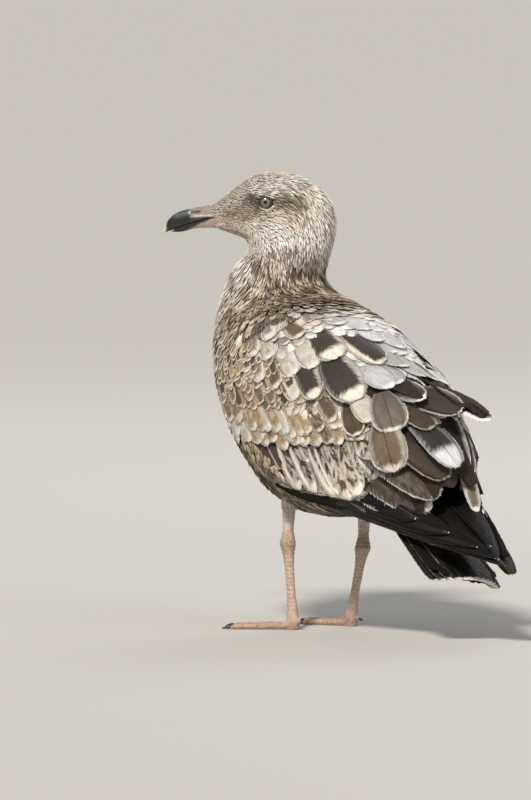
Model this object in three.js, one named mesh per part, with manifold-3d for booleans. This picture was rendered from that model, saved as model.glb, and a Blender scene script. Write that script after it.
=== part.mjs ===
// A young herring gull, standing still and looking to its left: a life-size display model.
//
// Units are millimetres. The bird faces -Y, its left side is +X and +Z is up. Shapes are written in
// the bird's own directions, forward, left and up from the floor midway between its feet, and at()
// turns those into model coordinates. The finished group is moved so that the origin is the centre
// of the bottom of the bird's box.
//
// The body is one lofted form that is parted by thin cuts. Long feathers are vanes, joined into one
// piece for each fan of feathers. Where two pieces meet, one is trimmed to clear the other by GAP.

import Module from 'manifold-3d';
import * as THREE from 'three';
import { mergeVertices } from 'three/addons/utils/BufferGeometryUtils.js';

const wasm = await Module();
wasm.setup();

// ---------------------------------------------------------------- driving dimensions

const GAP = 0.3; // clearance between neighbouring pieces

const HEAD_CENTRE = [65, 7, 332.3]; // forward, left and up of the point the head is measured from
const HEAD_YAW = 42; // degrees the head looks to the bird's left
const EYE_RADIUS = 7.4;
const EYE_PLACE = [-1.8, 15.2, 0.6]; // ahead of, beside and above the head's centre

const BODY_SQUARENESS = 2.3; // 2 is an ellipse, more is squarer
const BODY_SIDES = 24;
const BODY_RINGS = 25;
const HEAD_SIDES = 20;
const HEAD_RINGS = 14;
const BILL_SIDES = 12;
const BILL_RINGS = 9;

// Neck and trunk, from inside the head to the tail's coverts. Each row is a cross-section: forward,
// up, pitch of the body's line below the horizontal, half width, reach to the back and to the breast.
const BODY_ROWS = [
  [52, 326, 90, 9, 14, 10],
  [51, 314, 90, 14, 24, 16],
  [51, 301, 90, 26, 35, 31],
  [58, 284, 91, 33.5, 35, 34],
  [62, 266, 87, 38.5, 35, 43],
  [56, 247, 76, 51, 51, 50],
  [44, 225, 62, 64, 63, 57],
  [26, 204, 50, 71, 70, 67],
  [3, 187, 38, 72, 75, 81],
  [-26, 168, 30, 70, 77, 86],
  [-56, 152, 27, 61, 76, 72],
  [-84, 137, 27, 47, 64, 52],
  [-108, 119, 29, 33, 42, 32],
  [-130, 103, 31, 24, 22, 18],
  [-150, 86, 32, 20, 9, 11],
  [-166, 76, 32, 18, 4, 5],
];

// Shells of folded feathers that hug the body. Each row has the same six numbers, and then the
// turns round the body, in degrees from the back, of the shell's upper and its lower edge.
// `middle` and `edge` are thicknesses and `proud` is how far the lower edge stands off the body.
const SHELLS = {
  wing: {
    rows: [
      [34, 214, 56, 68.5, 68, 62, 76, 92],
      [27, 204.5, 51, 71, 70, 67, 68, 105],
      [12, 193, 42, 72.5, 74, 75, 62, 114],
      [-9, 179, 35, 72.5, 77, 82, 58, 119],
      [-34, 164, 30, 70.5, 78, 85, 56, 121],
      [-62, 149, 27, 66.5, 76, 73, 55, 119],
      [-90, 135, 27, 61, 70, 58, 55, 114],
      [-114, 123, 27, 55, 63, 45, 57, 107],
      [-130, 115, 27, 50, 57, 37, 64, 98],
    ],
    rings: 13,
    points: 8,
    middle: 9,
    edge: 2.4,
    proud: 4,
  },
  tertials: {
    rows: [
      [-72, 147, 27, 60, 73, 64, 14, 66],
      [-98, 136, 28, 55, 67, 52, 4, 88],
      [-122, 123, 31, 47, 57, 42, 1, 96],
      [-144, 111, 35, 35, 45, 33, 1, 98],
      [-161, 100, 38, 25, 32, 25, 2, 102],
    ],
    rings: 6,
    points: 13,
    middle: 6,
    edge: 2.2,
    proud: 3,
    tips: 3,
    notch: 8,
  },
  primaries: {
    rows: [
      [-40, 161, 29, 68, 76, 82, 119, 127],
      [-66, 147, 27, 65, 74, 71, 106, 129],
      [-92, 134, 27, 60, 68, 57, 90, 127],
      [-120, 120, 27, 53, 58, 45, 80, 124],
      [-150, 106, 27, 41, 44, 35, 84, 120],
      [-180, 92, 27, 27, 31, 27, 80, 116],
      [-210, 79, 27, 16, 21, 20, 70, 112],
      [-234, 68, 27, 9, 13, 12, 62, 108],
      [-247, 62, 27, 5, 7, 7, 66, 100],
    ],
    rings: 13,
    points: 6,
    middle: 3.6,
    edge: 1.8,
    proud: 1.5,
  },
};

// Long shoulder feathers that lift off the back, on each side: root, tip and width.
const RAISED_FEATHERS = {
  left: [[[-92, 20, 203], [-151, 12, 189], 26]],
  right: [
    [[-96, -12, 205], [-172, -13, 180], 26],
    [[-98, -22, 196], [-191, -20, 174], 24],
  ],
};

// Tail: a closed fan from the rump, with a shallow roof, tipped a little over to the right.
const TAIL = {
  feathers: 10,
  root: [-110, 104],
  tip: [-204, 45.5],
  rootHalf: 27,
  tipHalf: 36,
  shorter: 19, // how much shorter the outermost feathers are
  roof: 4, // how much lower they lie
  roll: 6, // how much lower the right edge is than the middle, at the tip
  notch: 2.2, // depth of the notches between the feather tips
  thickness: [7, 1.8],
};

// Legs: forward, left and up of the hip, heel and ankle, and the foot's turn from straight ahead.
const LEGS = {
  left: { hip: [6, 28.4, 116], heel: [-5, 38.8, 67], ankle: [-17, 42.4, 8], toeOut: 28 },
  right: { hip: [-19, -27.6, 110], heel: [-26, -19.2, 62], ankle: [-15, -15.6, 8], toeOut: -8 },
};
const LEG_SECTIONS = [
  // place from hip 0 through heel 1 to ankle 2, half fore-and-aft, half across
  [0, 8, 7.6],
  [0.45, 5.6, 5.2],
  [0.78, 4.4, 4],
  [1, 7.4, 5.8],
  [1.13, 5.4, 4.2],
  [1.3, 4.4, 3.1],
  [1.65, 4.1, 2.9],
  [1.88, 4.9, 3.7],
  [2, 6, 5],
];
const TIBIA_END = 6; // how far above the heel the bare shank's own piece starts
const FOOT_TOP = 9;

// Toes: length, degrees outwards from the foot's line, and the share of the toe that the web joins.
const TOES = [
  { length: 40, turn: -26, webbed: 0.86 },
  { length: 52, turn: 0, webbed: 0.84 },
  { length: 49, turn: 25, webbed: 0.86 },
];
const TOE_SECTIONS = [
  // place along the toe, half width, half height
  [0, 4.4, 4.6],
  [0.2, 3.1, 3.2],
  [0.38, 3.4, 3.1],
  [0.55, 2.7, 2.7],
  [0.7, 3, 2.7],
  [0.88, 2.5, 2.4],
  [1, 1.9, 2],
];
const WEB_THICKNESS = 1.3;
const HIND_TOE = { length: 8, root: 11, tip: 6, half: 1.7, turn: 165 };
const CLAW_LENGTH = 7;
const CLAW_HALF = 1.7; // half its thickness at the root
const HIND_CLAW_LENGTH = 3.5;

// Head, from the base of the bill to the nape: distance ahead of its centre, top, bottom, half width.
const HEAD_ROWS = [
  [43, -2, -21, 7.5],
  [38, 1.3, -22.5, 10],
  [30, 7.6, -25, 13.5],
  [20, 14.4, -29.5, 17],
  [8, 20.6, -37, 20],
  [-4, 22.4, -47, 21.8],
  [-18, 21.2, -54, 23],
  [-30, 17, -56, 23.6],
  [-39, 11.2, -52, 22.6],
  [-46, 4, -44, 19],
  [-50.5, -9, -30, 9],
];

// Bill, from its base to its hooked tip: distance ahead of the head's centre, top, bottom, half width.
const UPPER_BILL_ROWS = [
  [43.3, -2.2, -12.6, 7.2],
  [52.5, -3.9, -14.6, 6.4],
  [62, -5.8, -17.3, 5.3],
  [70.5, -7.9, -20, 4.2],
  [78, -11.9, -23, 3.2],
  [82.7, -18.6, -25, 2.2],
  [84.6, -23.6, -26, 0.9],
];
const LOWER_BILL_ROWS = [
  [43.3, -13, -21.2, 6.6],
  [52.4, -15, -21, 5.6],
  [61, -17.4, -22, 4.4],
  [68.5, -19.7, -24.2, 3.4],
  [75, -22.1, -24.6, 2.6],
  [78.8, -23.6, -24.4, 1.4],
];

const COLOURS = {
  head: '#cfc5b4',
  neck: '#b9aa94',
  trunk: '#b5b0a6',
  wing: '#a08f78',
  tertial: '#5a4d42',
  primary: '#26221f',
  tail: '#1f1b19',
  shank: '#cda393',
  claw: '#2b2522',
  bill: '#4a4a4c',
  eye: '#3b3833',
};

// ---------------------------------------------------------------- helpers

const at = (forward, left, up) => new THREE.Vector3(left, -forward, up);
const radians = THREE.MathUtils.degToRad;
const lerp = THREE.MathUtils.lerp;

// The row at a place between the rows of a table, on a smooth curve through them.
function rowAt(rows, place) {
  const last = rows.length - 1;
  const index = Math.min(Math.floor(place), last - 1);
  const t = place - index;
  const [before, start, end, after] = [index - 1, index, index + 1, index + 2].map(
    (k) => rows[THREE.MathUtils.clamp(k, 0, last)],
  );
  return start.map((value, k) => {
    const leave = (end[k] - before[k]) / 2;
    const arrive = (after[k] - start[k]) / 2;
    const cubic = 2 * (value - end[k]) + leave + arrive;
    const square = 3 * (end[k] - value) - 2 * leave - arrive;
    return ((cubic * t + square) * t + leave) * t + value;
  });
}

function rowsAlong(rows, count) {
  return Array.from({ length: count }, (_, k) => rowAt(rows, ((rows.length - 1) * k) / (count - 1)));
}

// A closed skin over rings of equal, even numbers of points. Each end is closed by a strip that
// joins the first points of its ring to the last ones, which suits a crescent as well as an oval.
function loft(rings) {
  const sides = rings[0].length;
  const faces = [];
  for (let r = 0; r + 1 < rings.length; r += 1) {
    for (let k = 0; k < sides; k += 1) {
      const a = r * sides + k;
      const b = r * sides + ((k + 1) % sides);
      faces.push([a, b, b + sides], [a, b + sides, a + sides]);
    }
  }
  for (const [base, flipped] of [[0, true], [(rings.length - 1) * sides, false]]) {
    for (let k = 0; k < sides / 2 - 1; k += 1) {
      const [a, b, c, d] = [k, k + 1, sides - 2 - k, sides - 1 - k].map((n) => base + n);
      const pair = c === b ? [[a, b, d]] : [[a, b, c], [a, c, d]];
      faces.push(...pair.map((face) => (flipped ? face.reverse() : face)));
    }
  }
  return solidOf(rings.flat(), faces);
}

// A solid from points and faces that may point in or out, but all the same way.
function solidOf(points, faces) {
  let volume = 0;
  for (const [a, b, c] of faces) {
    volume += points[a].dot(new THREE.Vector3().crossVectors(points[b], points[c]));
  }
  const outward = volume > 0 ? faces : faces.map(([a, b, c]) => [a, c, b]);
  return new wasm.Manifold(
    new wasm.Mesh({
      numProp: 3,
      vertProperties: new Float32Array(points.flatMap((point) => point.toArray())),
      triVerts: new Uint32Array(outward.flat()),
    }),
  );
}

// A solid from a closed three.js geometry, placed by a matrix.
function solidFrom(geometry, matrix = new THREE.Matrix4()) {
  const bare = geometry.index ? geometry.toNonIndexed() : geometry.clone();
  bare.deleteAttribute('normal');
  bare.deleteAttribute('uv');
  const merged = mergeVertices(bare.applyMatrix4(matrix), 1e-4);
  const { array, count } = merged.getAttribute('position');
  const points = Array.from({ length: count }, (_, k) => new THREE.Vector3().fromArray(array, 3 * k));
  const corners = merged.index.array;
  const faces = [];
  for (let k = 0; k < corners.length; k += 3) {
    const face = [corners[k], corners[k + 1], corners[k + 2]];
    if (new Set(face).size === 3) faces.push(face);
  }
  return solidOf(points, faces);
}

const joined = (solids) => solids.reduce((whole, solid) => whole.add(solid));

// The part of a solid that lies beyond a plane, kept half the gap away from it.
function beyond(solid, point, normal) {
  const unit = normal.clone().normalize();
  return solid.trimByPlane(unit.toArray(), unit.dot(point) + GAP / 2);
}

// A cut leaves one main body; any crumbs that it frees are dropped.
function largest(solid) {
  const parts = solid.decompose();
  return parts.sort((a, b) => b.volume() - a.volume())[0];
}

const bird = new THREE.Group();

function addPart(name, solid, colour, roughness = 0.85) {
  const { vertProperties, triVerts, numProp } = largest(solid).getMesh();
  const positions = new Float32Array((vertProperties.length / numProp) * 3);
  for (let k = 0; k < positions.length / 3; k += 1) {
    for (let axis = 0; axis < 3; axis += 1) positions[3 * k + axis] = vertProperties[numProp * k + axis];
  }
  const geometry = new THREE.BufferGeometry();
  geometry.setAttribute('position', new THREE.BufferAttribute(positions, 3));
  geometry.setIndex(new THREE.BufferAttribute(new Uint32Array(triVerts), 1));
  geometry.computeVertexNormals();
  const material = new THREE.MeshStandardMaterial({ color: colour, roughness, metalness: 0 });
  const mesh = new THREE.Mesh(geometry, material);
  mesh.name = name;
  bird.add(mesh);
}

// ---------------------------------------------------------------- neck and trunk

// A point of the body's section. The turn is 0 at the back, 90 at the left side, 180 at the breast;
// lift moves the point off the section, outwards.
function bodyPoint([forward, up, pitch, half, back, breast], turn, lift = 0) {
  const power = 2 / BODY_SQUARENESS;
  const sine = Math.sin(radians(turn));
  const cosine = Math.cos(radians(turn));
  const side = (half + lift) * Math.sign(sine) * Math.abs(sine) ** power;
  const reach = (cosine > 0 ? back : breast) + lift;
  const height = reach * Math.sign(cosine) * Math.abs(cosine) ** power;
  const slope = radians(pitch);
  return at(forward - Math.sin(slope) * height, side, up + Math.cos(slope) * height);
}

function bodySolid(grow = 0) {
  const rings = rowsAlong(BODY_ROWS, BODY_RINGS).map((row) =>
    Array.from({ length: BODY_SIDES }, (_, k) => bodyPoint(row, (360 * (k + 0.5)) / BODY_SIDES, grow)),
  );
  return loft(rings);
}

// ---------------------------------------------------------------- head, bill and eyes

// A point of the head: ahead of its centre, to the head's own left, and above its centre.
function headPoint(ahead, side, above) {
  const yaw = radians(HEAD_YAW);
  const [forward, left, up] = HEAD_CENTRE;
  return at(
    forward + ahead * Math.cos(yaw) - side * Math.sin(yaw),
    left + ahead * Math.sin(yaw) + side * Math.cos(yaw),
    up + above,
  );
}

// An oval ring of the head or bill; its widest level is a share of the way up from the bottom.
function headRing([ahead, top, bottom, half], sides, waist, power) {
  const level = lerp(bottom, top, waist);
  return Array.from({ length: sides }, (_, k) => {
    const turn = radians((360 * (k + 0.5)) / sides);
    const sine = Math.sin(turn);
    const cosine = Math.cos(turn);
    const side = half * Math.sign(sine) * Math.abs(sine) ** power;
    const reach = cosine > 0 ? top - level : level - bottom;
    return headPoint(ahead, side, level + reach * Math.sign(cosine) * Math.abs(cosine) ** power);
  });
}

function headSolid() {
  return loft(rowsAlong(HEAD_ROWS, HEAD_RINGS).map((row) => headRing(row, HEAD_SIDES, 0.48, 0.92)));
}

function billSolid(rows, waist) {
  return loft(rowsAlong(rows, BILL_RINGS).map((row) => headRing(row, BILL_SIDES, waist, 0.85)));
}

function eyeball(side, radius) {
  const [ahead, beside, above] = EYE_PLACE;
  const centre = headPoint(ahead, side * beside, above);
  const place = new THREE.Matrix4().makeTranslation(centre);
  return solidFrom(new THREE.SphereGeometry(radius, 12, 8), place);
}

// ---------------------------------------------------------------- feathers

// A shell of folded feathers on one side of the body. With `tips`, its last edge is notched between
// that many feather tips. A shell that trims others is `grow` larger all round, and reaches `over`
// and `under` it, so that what it crosses at a low angle still ends at its outline.
function shellSolid(shell, side, grow = 0, over = 0, under = 0) {
  const { rows, rings, points, middle, edge, proud, tips = 0, notch = 0 } = shell;
  const sections = rowsAlong(rows, rings).map((row, ring) => {
    const [upper, lower] = row.slice(6);
    const along = ring / (rings - 1);
    const taper = lerp(0.4, 1, Math.sin(Math.PI * along) ** 0.5);
    const atEnd = ring === rings - 1;
    const slope = radians(row[2]);
    const backwards = at(-Math.cos(slope), 0, -Math.sin(slope));
    const line = (inner) =>
      Array.from({ length: points }, (_, k) => {
        const across = k / (points - 1);
        const turn = lerp(upper - grow, lower + grow, across);
        const stand = proud * across ** 1.5 + 0.8;
        const thickness = lerp(edge, middle, Math.sin(Math.PI * across) ** 0.7) * taper;
        const lift = inner ? stand - thickness - grow - under : stand + grow + over;
        const place = bodyPoint(row, side * turn, lift);
        const tip = atEnd ? notch * Math.abs(Math.sin(Math.PI * tips * across)) + grow : 0;
        return place.addScaledVector(backwards, tip);
      });
    return [...line(false), ...line(true).reverse()];
  });
  return loft(sections);
}

// A single long feather: a bowed blade with a rounded tip, its flat side facing up.
function vane(root, tip, width) {
  const bow = 5;
  const thickness = 2;
  const thin = 0.35;
  const along = new THREE.Vector3().subVectors(tip, root).normalize();
  const side = new THREE.Vector3().crossVectors(along, at(0.25, root.x / 60, 1)).normalize();
  const normal = new THREE.Vector3().crossVectors(side, along).normalize();
  const rings = [0, 0.3, 0.6, 0.8, 0.92, 0.98, 1].map((t) => {
    const rounding = Math.max(0, (t - 0.6) / 0.4);
    const half = (width / 2) * Math.sqrt(1.02 - rounding ** 2) * lerp(0.6, 1, Math.min(1, t / 0.6));
    const rise = bow * 4 * t * (1 - t);
    const centre = new THREE.Vector3().lerpVectors(root, tip, t).addScaledVector(normal, rise);
    const upper = [[-half, thin], [-half / 2, thickness / 2], [half / 2, thickness / 2], [half, thin]];
    const outline = [...upper, ...upper.map(([x, y]) => [x, -y]).reverse()];
    return outline.map(([x, y]) => centre.clone().addScaledVector(side, x).addScaledVector(normal, y));
  });
  return loft(rings);
}

// The tail, built across its width: each slice runs from the root to the notched tip and back.
function tailSolid() {
  const perFeather = 3;
  const count = TAIL.feathers * perFeather;
  const [rootThick, tipThick] = TAIL.thickness;
  const slices = Array.from({ length: count + 1 }, (_, k) => {
    const across = (2 * k) / count - 1;
    const notch = TAIL.notch * (1 - Math.abs(Math.sin((Math.PI * k) / perFeather)));
    const short = TAIL.shorter * across ** 2 + notch;
    const [rootForward, rootUp] = TAIL.root;
    const [tipForward, tipUp] = TAIL.tip;
    const share = 1 - short / (rootForward - tipForward);
    const edge = 1 - 0.55 * across ** 2;
    const point = (t, face) =>
      at(
        lerp(rootForward, tipForward, t),
        across * lerp(TAIL.rootHalf, TAIL.tipHalf, t),
        lerp(rootUp, tipUp, t) - t * (TAIL.roof * across ** 2 - TAIL.roll * across)
          + (face * edge * lerp(rootThick, tipThick, t ** 0.6)) / 2,
      );
    const stops = [0, 0.35 * share, 0.7 * share, share];
    return [...stops.map((t) => point(t, 1)), ...stops.reverse().map((t) => point(t, -1))];
  });
  return loft(slices);
}

// ---------------------------------------------------------------- legs, feet and claws

// An upright section of a leg or toe: an oval about a centre, in the plane square to `along`.
function ovalRing(centre, along, halfWide, halfHigh, sides, upward = at(0, 0, 1)) {
  const wide = new THREE.Vector3().crossVectors(upward, along).normalize();
  const high = new THREE.Vector3().crossVectors(along, wide).normalize();
  return Array.from({ length: sides }, (_, k) => {
    const turn = (2 * Math.PI * (k + 0.5)) / sides;
    return centre.clone()
      .addScaledVector(wide, halfWide * Math.sin(turn))
      .addScaledVector(high, halfHigh * Math.cos(turn));
  });
}

function legSolid({ hip, heel, ankle }) {
  const [top, middle, bottom] = [hip, heel, ankle].map((point) => at(...point));
  const sole = bottom.clone().setZ(0);
  const places = LEG_SECTIONS.map(([place, deep, wide]) => {
    const upperLeg = place <= 1;
    const [start, end] = upperLeg ? [top, middle] : [middle, bottom];
    return { centre: start.clone().lerp(end, upperLeg ? place : place - 1), deep, wide };
  });
  const [, deep, wide] = LEG_SECTIONS.at(-1);
  places.push({ centre: sole, deep, wide });
  const down = at(0, 0, -1);
  const ahead = at(1, 0, 0);
  return loft(places.map(({ centre, ...half }) => ovalRing(centre, down, half.wide, half.deep, 12, ahead)));
}

// The direction of a toe on the floor: degrees outwards from straight ahead.
function heading(degrees, side) {
  return at(Math.cos(radians(degrees)), side * Math.sin(radians(degrees)), 0);
}

function toeSolid(root, direction, length) {
  const rings = TOE_SECTIONS.map(([place, wide, high]) => {
    const centre = root.clone().addScaledVector(direction, length * place).setZ(high * 0.8);
    return ovalRing(centre, direction, wide, high, 6);
  });
  return loft(rings);
}

// The web between the front toes: a flat sheet with a hollow edge from toe to toe.
function webSolid(root, directions) {
  const reach = directions.map((direction, k) =>
    root.clone().addScaledVector(direction, TOES[k].length * TOES[k].webbed),
  );
  const outline = new THREE.Shape().moveTo(root.x, root.y).lineTo(reach[0].x, reach[0].y);
  for (const k of [1, 2]) {
    const hollow = reach[k - 1].clone().add(reach[k]).multiplyScalar(0.5).lerp(root, 0.22);
    outline.quadraticCurveTo(hollow.x, hollow.y, reach[k].x, reach[k].y);
  }
  outline.closePath();
  const sheet = { depth: WEB_THICKNESS, bevelEnabled: false, curveSegments: 5 };
  return solidFrom(new THREE.ExtrudeGeometry(outline, sheet));
}

// The small raised hind toe, from the back of the ankle.
function hindToe(root, direction) {
  const rings = [0, 0.5, 1].map((place) => {
    const centre = root.clone().addScaledVector(direction, HIND_TOE.length * place);
    const half = lerp(HIND_TOE.half * 1.3, HIND_TOE.half, place);
    return ovalRing(centre.setZ(lerp(HIND_TOE.root, HIND_TOE.tip, place)), direction, half, half, 6);
  });
  return loft(rings);
}

function clawSolid(root, direction, length, thickness) {
  const droop = [0, 0.1, 0.32, 0.62];
  const rings = [1, 0.85, 0.58, 0.22].map((share, k) => {
    const centre = root.clone().addScaledVector(direction, (length * k) / 3);
    centre.z -= droop[k] * thickness;
    return ovalRing(centre, direction, thickness * share * 0.8, thickness * share, 6);
  });
  return loft(rings);
}

// ---------------------------------------------------------------- assembly

const UP = at(0, 0, 1);
const DOWN = at(0, 0, -1);
const SIDES = { left: 1, right: -1 };
const NAPE_CUT = at(60, 0, 296);
const SHOULDER_CUT = at(95, 0, 235);
const SHOULDER_NORMAL = at(27, 0, 75);
const REACH = 14; // how far a cutter reaches over or under its shell

const both = (make) => joined(Object.values(SIDES).map(make));
const cutBy = (solid, ...cutters) => cutters.reduce((rest, cutter) => rest.subtract(cutter), solid);

const bodyCutter = bodySolid(GAP);
const sockets = both((side) => eyeball(side, EYE_RADIUS + GAP));
const [wingRecess, tertialRecess, primaryRecess] = [SHELLS.wing, SHELLS.tertials, SHELLS.primaries].map(
  (shell) => both((side) => shellSolid(shell, side, GAP, REACH)),
);
const [wingOutline, tertialOutline] = [SHELLS.wing, SHELLS.tertials].map(
  (shell) => both((side) => shellSolid(shell, side, 2 * GAP, REACH, REACH)),
);

// head, neck, trunk and tail
const whole = headSolid().add(bodySolid());
const belowHead = beyond(whole, NAPE_CUT, DOWN);
const trunk = beyond(belowHead, SHOULDER_CUT, SHOULDER_NORMAL.clone().negate());
addPart('head', beyond(whole, NAPE_CUT, UP).subtract(sockets), COLOURS.head);
addPart('neck', beyond(belowHead, SHOULDER_CUT, SHOULDER_NORMAL), COLOURS.neck);
addPart('trunk', cutBy(trunk, wingRecess, tertialRecess, cutBy(primaryRecess, wingOutline)), COLOURS.trunk);
addPart('bill_upper', billSolid(UPPER_BILL_ROWS, 0.05), COLOURS.bill, 0.4);
addPart('bill_lower', billSolid(LOWER_BILL_ROWS, 0.95), COLOURS.bill, 0.4);
addPart('tail', tailSolid().subtract(bodyCutter), COLOURS.tail);

for (const [name, side] of Object.entries(SIDES)) {
  addPart(`eye_${name}`, eyeball(side, EYE_RADIUS), COLOURS.eye, 0.1);

  // the folded wing, the long inner feathers over it and the flight feathers under both
  const outwards = at(0, side, 0);
  const raised = RAISED_FEATHERS[name].map(([root, tip, width]) => vane(at(...root), at(...tip), width));
  const folded = shellSolid(SHELLS.tertials, side);
  const tertials = joined([folded, ...raised.map((feather) => cutBy(feather, bodyCutter))]);
  const primaries = cutBy(shellSolid(SHELLS.primaries, side), wingOutline, tertialOutline);
  addPart(`wing_${name}`, shellSolid(SHELLS.wing, side), COLOURS.wing);
  addPart(`tertials_${name}`, cutBy(beyond(tertials, at(0, 0, 0), outwards), wingOutline), COLOURS.tertial);
  addPart(`primaries_${name}`, primaries, COLOURS.primary);

  // leg, foot and claws
  const { heel, ankle, toeOut } = LEGS[name];
  const [heelForward, heelLeft, heelUp] = heel;
  const [ankleForward, ankleLeft] = ankle;
  const leg = legSolid(LEGS[name]);
  const shankTop = at(heelForward, heelLeft, heelUp + TIBIA_END);
  const footTop = at(ankleForward, ankleLeft, FOOT_TOP);
  addPart(`tibia_${name}`, beyond(leg, shankTop, UP).subtract(bodyCutter), COLOURS.shank);
  addPart(`tarsus_${name}`, beyond(beyond(leg, shankTop, DOWN), footTop, UP), COLOURS.shank);

  const root = at(ankleForward, ankleLeft, 0);
  const directions = TOES.map(({ turn }) => heading(toeOut + turn, side));
  const toes = TOES.map(({ length }, k) => toeSolid(root, directions[k], length));
  const backwards = heading(toeOut + HIND_TOE.turn, side);
  const hind = hindToe(root, backwards).trimByPlane(DOWN.toArray(), GAP / 2 - FOOT_TOP);
  const foot = joined([beyond(leg, footTop, DOWN), webSolid(root, directions), hind, ...toes]);
  addPart(`foot_${name}`, foot.trimByPlane(UP.toArray(), 0), COLOURS.shank);

  const hindTip = root.clone().addScaledVector(backwards, HIND_TOE.length + GAP).setZ(HIND_TOE.tip - 0.4);
  const hindClaw = clawSolid(hindTip, backwards, HIND_CLAW_LENGTH, HIND_TOE.half * 0.8);
  addPart(`claw_${name}_1`, hindClaw, COLOURS.claw, 0.4);
  TOES.forEach(({ length }, k) => {
    const start = root.clone().addScaledVector(directions[k], length + GAP).setZ(1.9);
    const claw = clawSolid(start, directions[k], CLAW_LENGTH, CLAW_HALF);
    addPart(`claw_${name}_${k + 2}`, claw, COLOURS.claw, 0.4);
  });
}

// the origin is the centre of the bottom of the box
const box = new THREE.Box3().setFromObject(bird);
const middle = box.getCenter(new THREE.Vector3());
bird.position.set(-middle.x, -middle.y, -box.min.z);

export default bird;
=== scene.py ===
"""A young herring gull, life size, standing still and looking to its left.

Shapes are worked out in the bird's own axes in millimetres: left, back and up from the floor midway
between its feet. They move into the frame when each mesh is made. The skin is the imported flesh,
melted into one surface and drawn in by the depth of the coat. Every feather is a closed vane that
runs from a root on the skin to a tip at the coat's surface, so each tip covers the next root.
"""
import math

import bmesh
import bpy
import numpy as np
from mathutils import Matrix, Vector, noise
from mathutils.bvhtree import BVHTree


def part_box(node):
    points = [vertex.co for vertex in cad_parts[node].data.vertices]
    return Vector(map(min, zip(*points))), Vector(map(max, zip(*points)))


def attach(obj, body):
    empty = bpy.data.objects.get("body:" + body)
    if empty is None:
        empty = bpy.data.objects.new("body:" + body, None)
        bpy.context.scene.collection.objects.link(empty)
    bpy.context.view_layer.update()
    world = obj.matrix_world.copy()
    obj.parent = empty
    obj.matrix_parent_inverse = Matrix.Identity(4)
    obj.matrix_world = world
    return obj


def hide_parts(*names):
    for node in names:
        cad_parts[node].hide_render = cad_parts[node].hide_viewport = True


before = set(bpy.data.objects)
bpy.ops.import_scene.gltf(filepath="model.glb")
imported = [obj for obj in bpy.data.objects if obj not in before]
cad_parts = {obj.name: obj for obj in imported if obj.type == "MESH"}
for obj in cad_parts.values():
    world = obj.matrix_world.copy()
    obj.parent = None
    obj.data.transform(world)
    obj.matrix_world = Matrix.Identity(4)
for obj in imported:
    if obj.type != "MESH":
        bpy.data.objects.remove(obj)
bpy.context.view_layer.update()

MM = 0.001
SIDES = {"left": 1, "right": -1}
FULL_TURN = 2 * math.pi
rng = np.random.default_rng(20)

# ---------------- the bird's own measures

HEAD_CENTRE = (65.0, 7.0, 332.3)  # forward, left and up of the point the head is measured from
HEAD_YAW = math.radians(42)
EYE_RADIUS = 7.4
EYE_PLACE = (-1.8, 15.2, 0.6)  # ahead of, beside and above the head's centre

# The line down the middle of the neck and trunk: forward, up, and pitch below the horizontal.
BODY_LINE = [
    (52, 326, 90), (51, 314, 90), (51, 301, 90), (58, 284, 91),
    (62, 266, 87), (56, 247, 76), (44, 225, 62), (26, 204, 50),
    (3, 187, 38), (-26, 168, 30), (-56, 152, 27), (-84, 137, 27),
    (-108, 119, 29), (-130, 103, 31), (-150, 86, 32), (-166, 76, 32),
]
LAST_ROW = len(BODY_LINE) - 1

# The mass of long folded inner feathers over the rump: the same three numbers, then the half
# width and the reach to the back and to the belly.
FOLDED_MASS = [
    (-72, 147, 27, 60, 73, 64),
    (-98, 136, 28, 55, 67, 52),
    (-122, 123, 31, 47, 57, 42),
    (-144, 111, 35, 35, 45, 33),
    (-161, 100, 38, 25, 32, 25),
]
SQUARENESS = 2.3


def at(forward, left, up):
    return np.array([left, -forward, up], float)


def head_point(ahead, side, above):
    """A point by its distances ahead of the head's centre, to the head's left, and above it."""
    forward = HEAD_CENTRE[0] + ahead * math.cos(HEAD_YAW) - side * math.sin(HEAD_YAW)
    left = HEAD_CENTRE[1] + ahead * math.sin(HEAD_YAW) + side * math.cos(HEAD_YAW)
    return at(forward, left, HEAD_CENTRE[2] + above)


def head_place(points):
    """Distances ahead of the head's centre, to the head's left and above it, of many points."""
    forward = -points[:, 1] - HEAD_CENTRE[0]
    left = points[:, 0] - HEAD_CENTRE[1]
    ahead = forward * math.cos(HEAD_YAW) + left * math.sin(HEAD_YAW)
    side = left * math.cos(HEAD_YAW) - forward * math.sin(HEAD_YAW)
    return ahead, side, points[:, 2] - HEAD_CENTRE[2]


HEAD_AHEAD = head_point(1, 0, 0) - head_point(0, 0, 0)
HEAD_SIDE = head_point(0, 1, 0) - head_point(0, 0, 0)
UP = np.array([0.0, 0.0, 1.0])


def eye_centre(sign):
    ahead, beside, above = EYE_PLACE
    return head_point(ahead, sign * beside, above)


eye_corners = [np.array(corner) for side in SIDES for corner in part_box(f"eye_{side}")]
SHIFT = sum(eye_corners) / 4 / MM - head_point(EYE_PLACE[0], 0, EYE_PLACE[2])


# ---------------- small sums

def smoothstep(low, high, x):
    t = np.clip((x - low) / (high - low), 0, 1)
    return t * t * (3 - 2 * t)


def lerp(a, b, t):
    return a + (b - a) * t


def unit(v):
    return v / np.maximum(np.linalg.norm(v, axis=-1, keepdims=True), 1e-9)


def rows_at(rows, places):
    """The rows of a table at places between them, on a smooth curve."""
    rows = np.asarray(rows, float)
    places = np.atleast_1d(np.asarray(places, float))
    index = np.clip(np.floor(places).astype(int), 0, len(rows) - 2)
    t = (places - index)[:, None]
    before, start, end, after = (rows[np.clip(index + k, 0, len(rows) - 1)] for k in (-1, 0, 1, 2))
    leave = (end - before) / 2
    arrive = (after - start) / 2
    return (((2 * (start - end) + leave + arrive) * t + 3 * (end - start) - 2 * leave - arrive) * t
            + leave) * t + start


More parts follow.
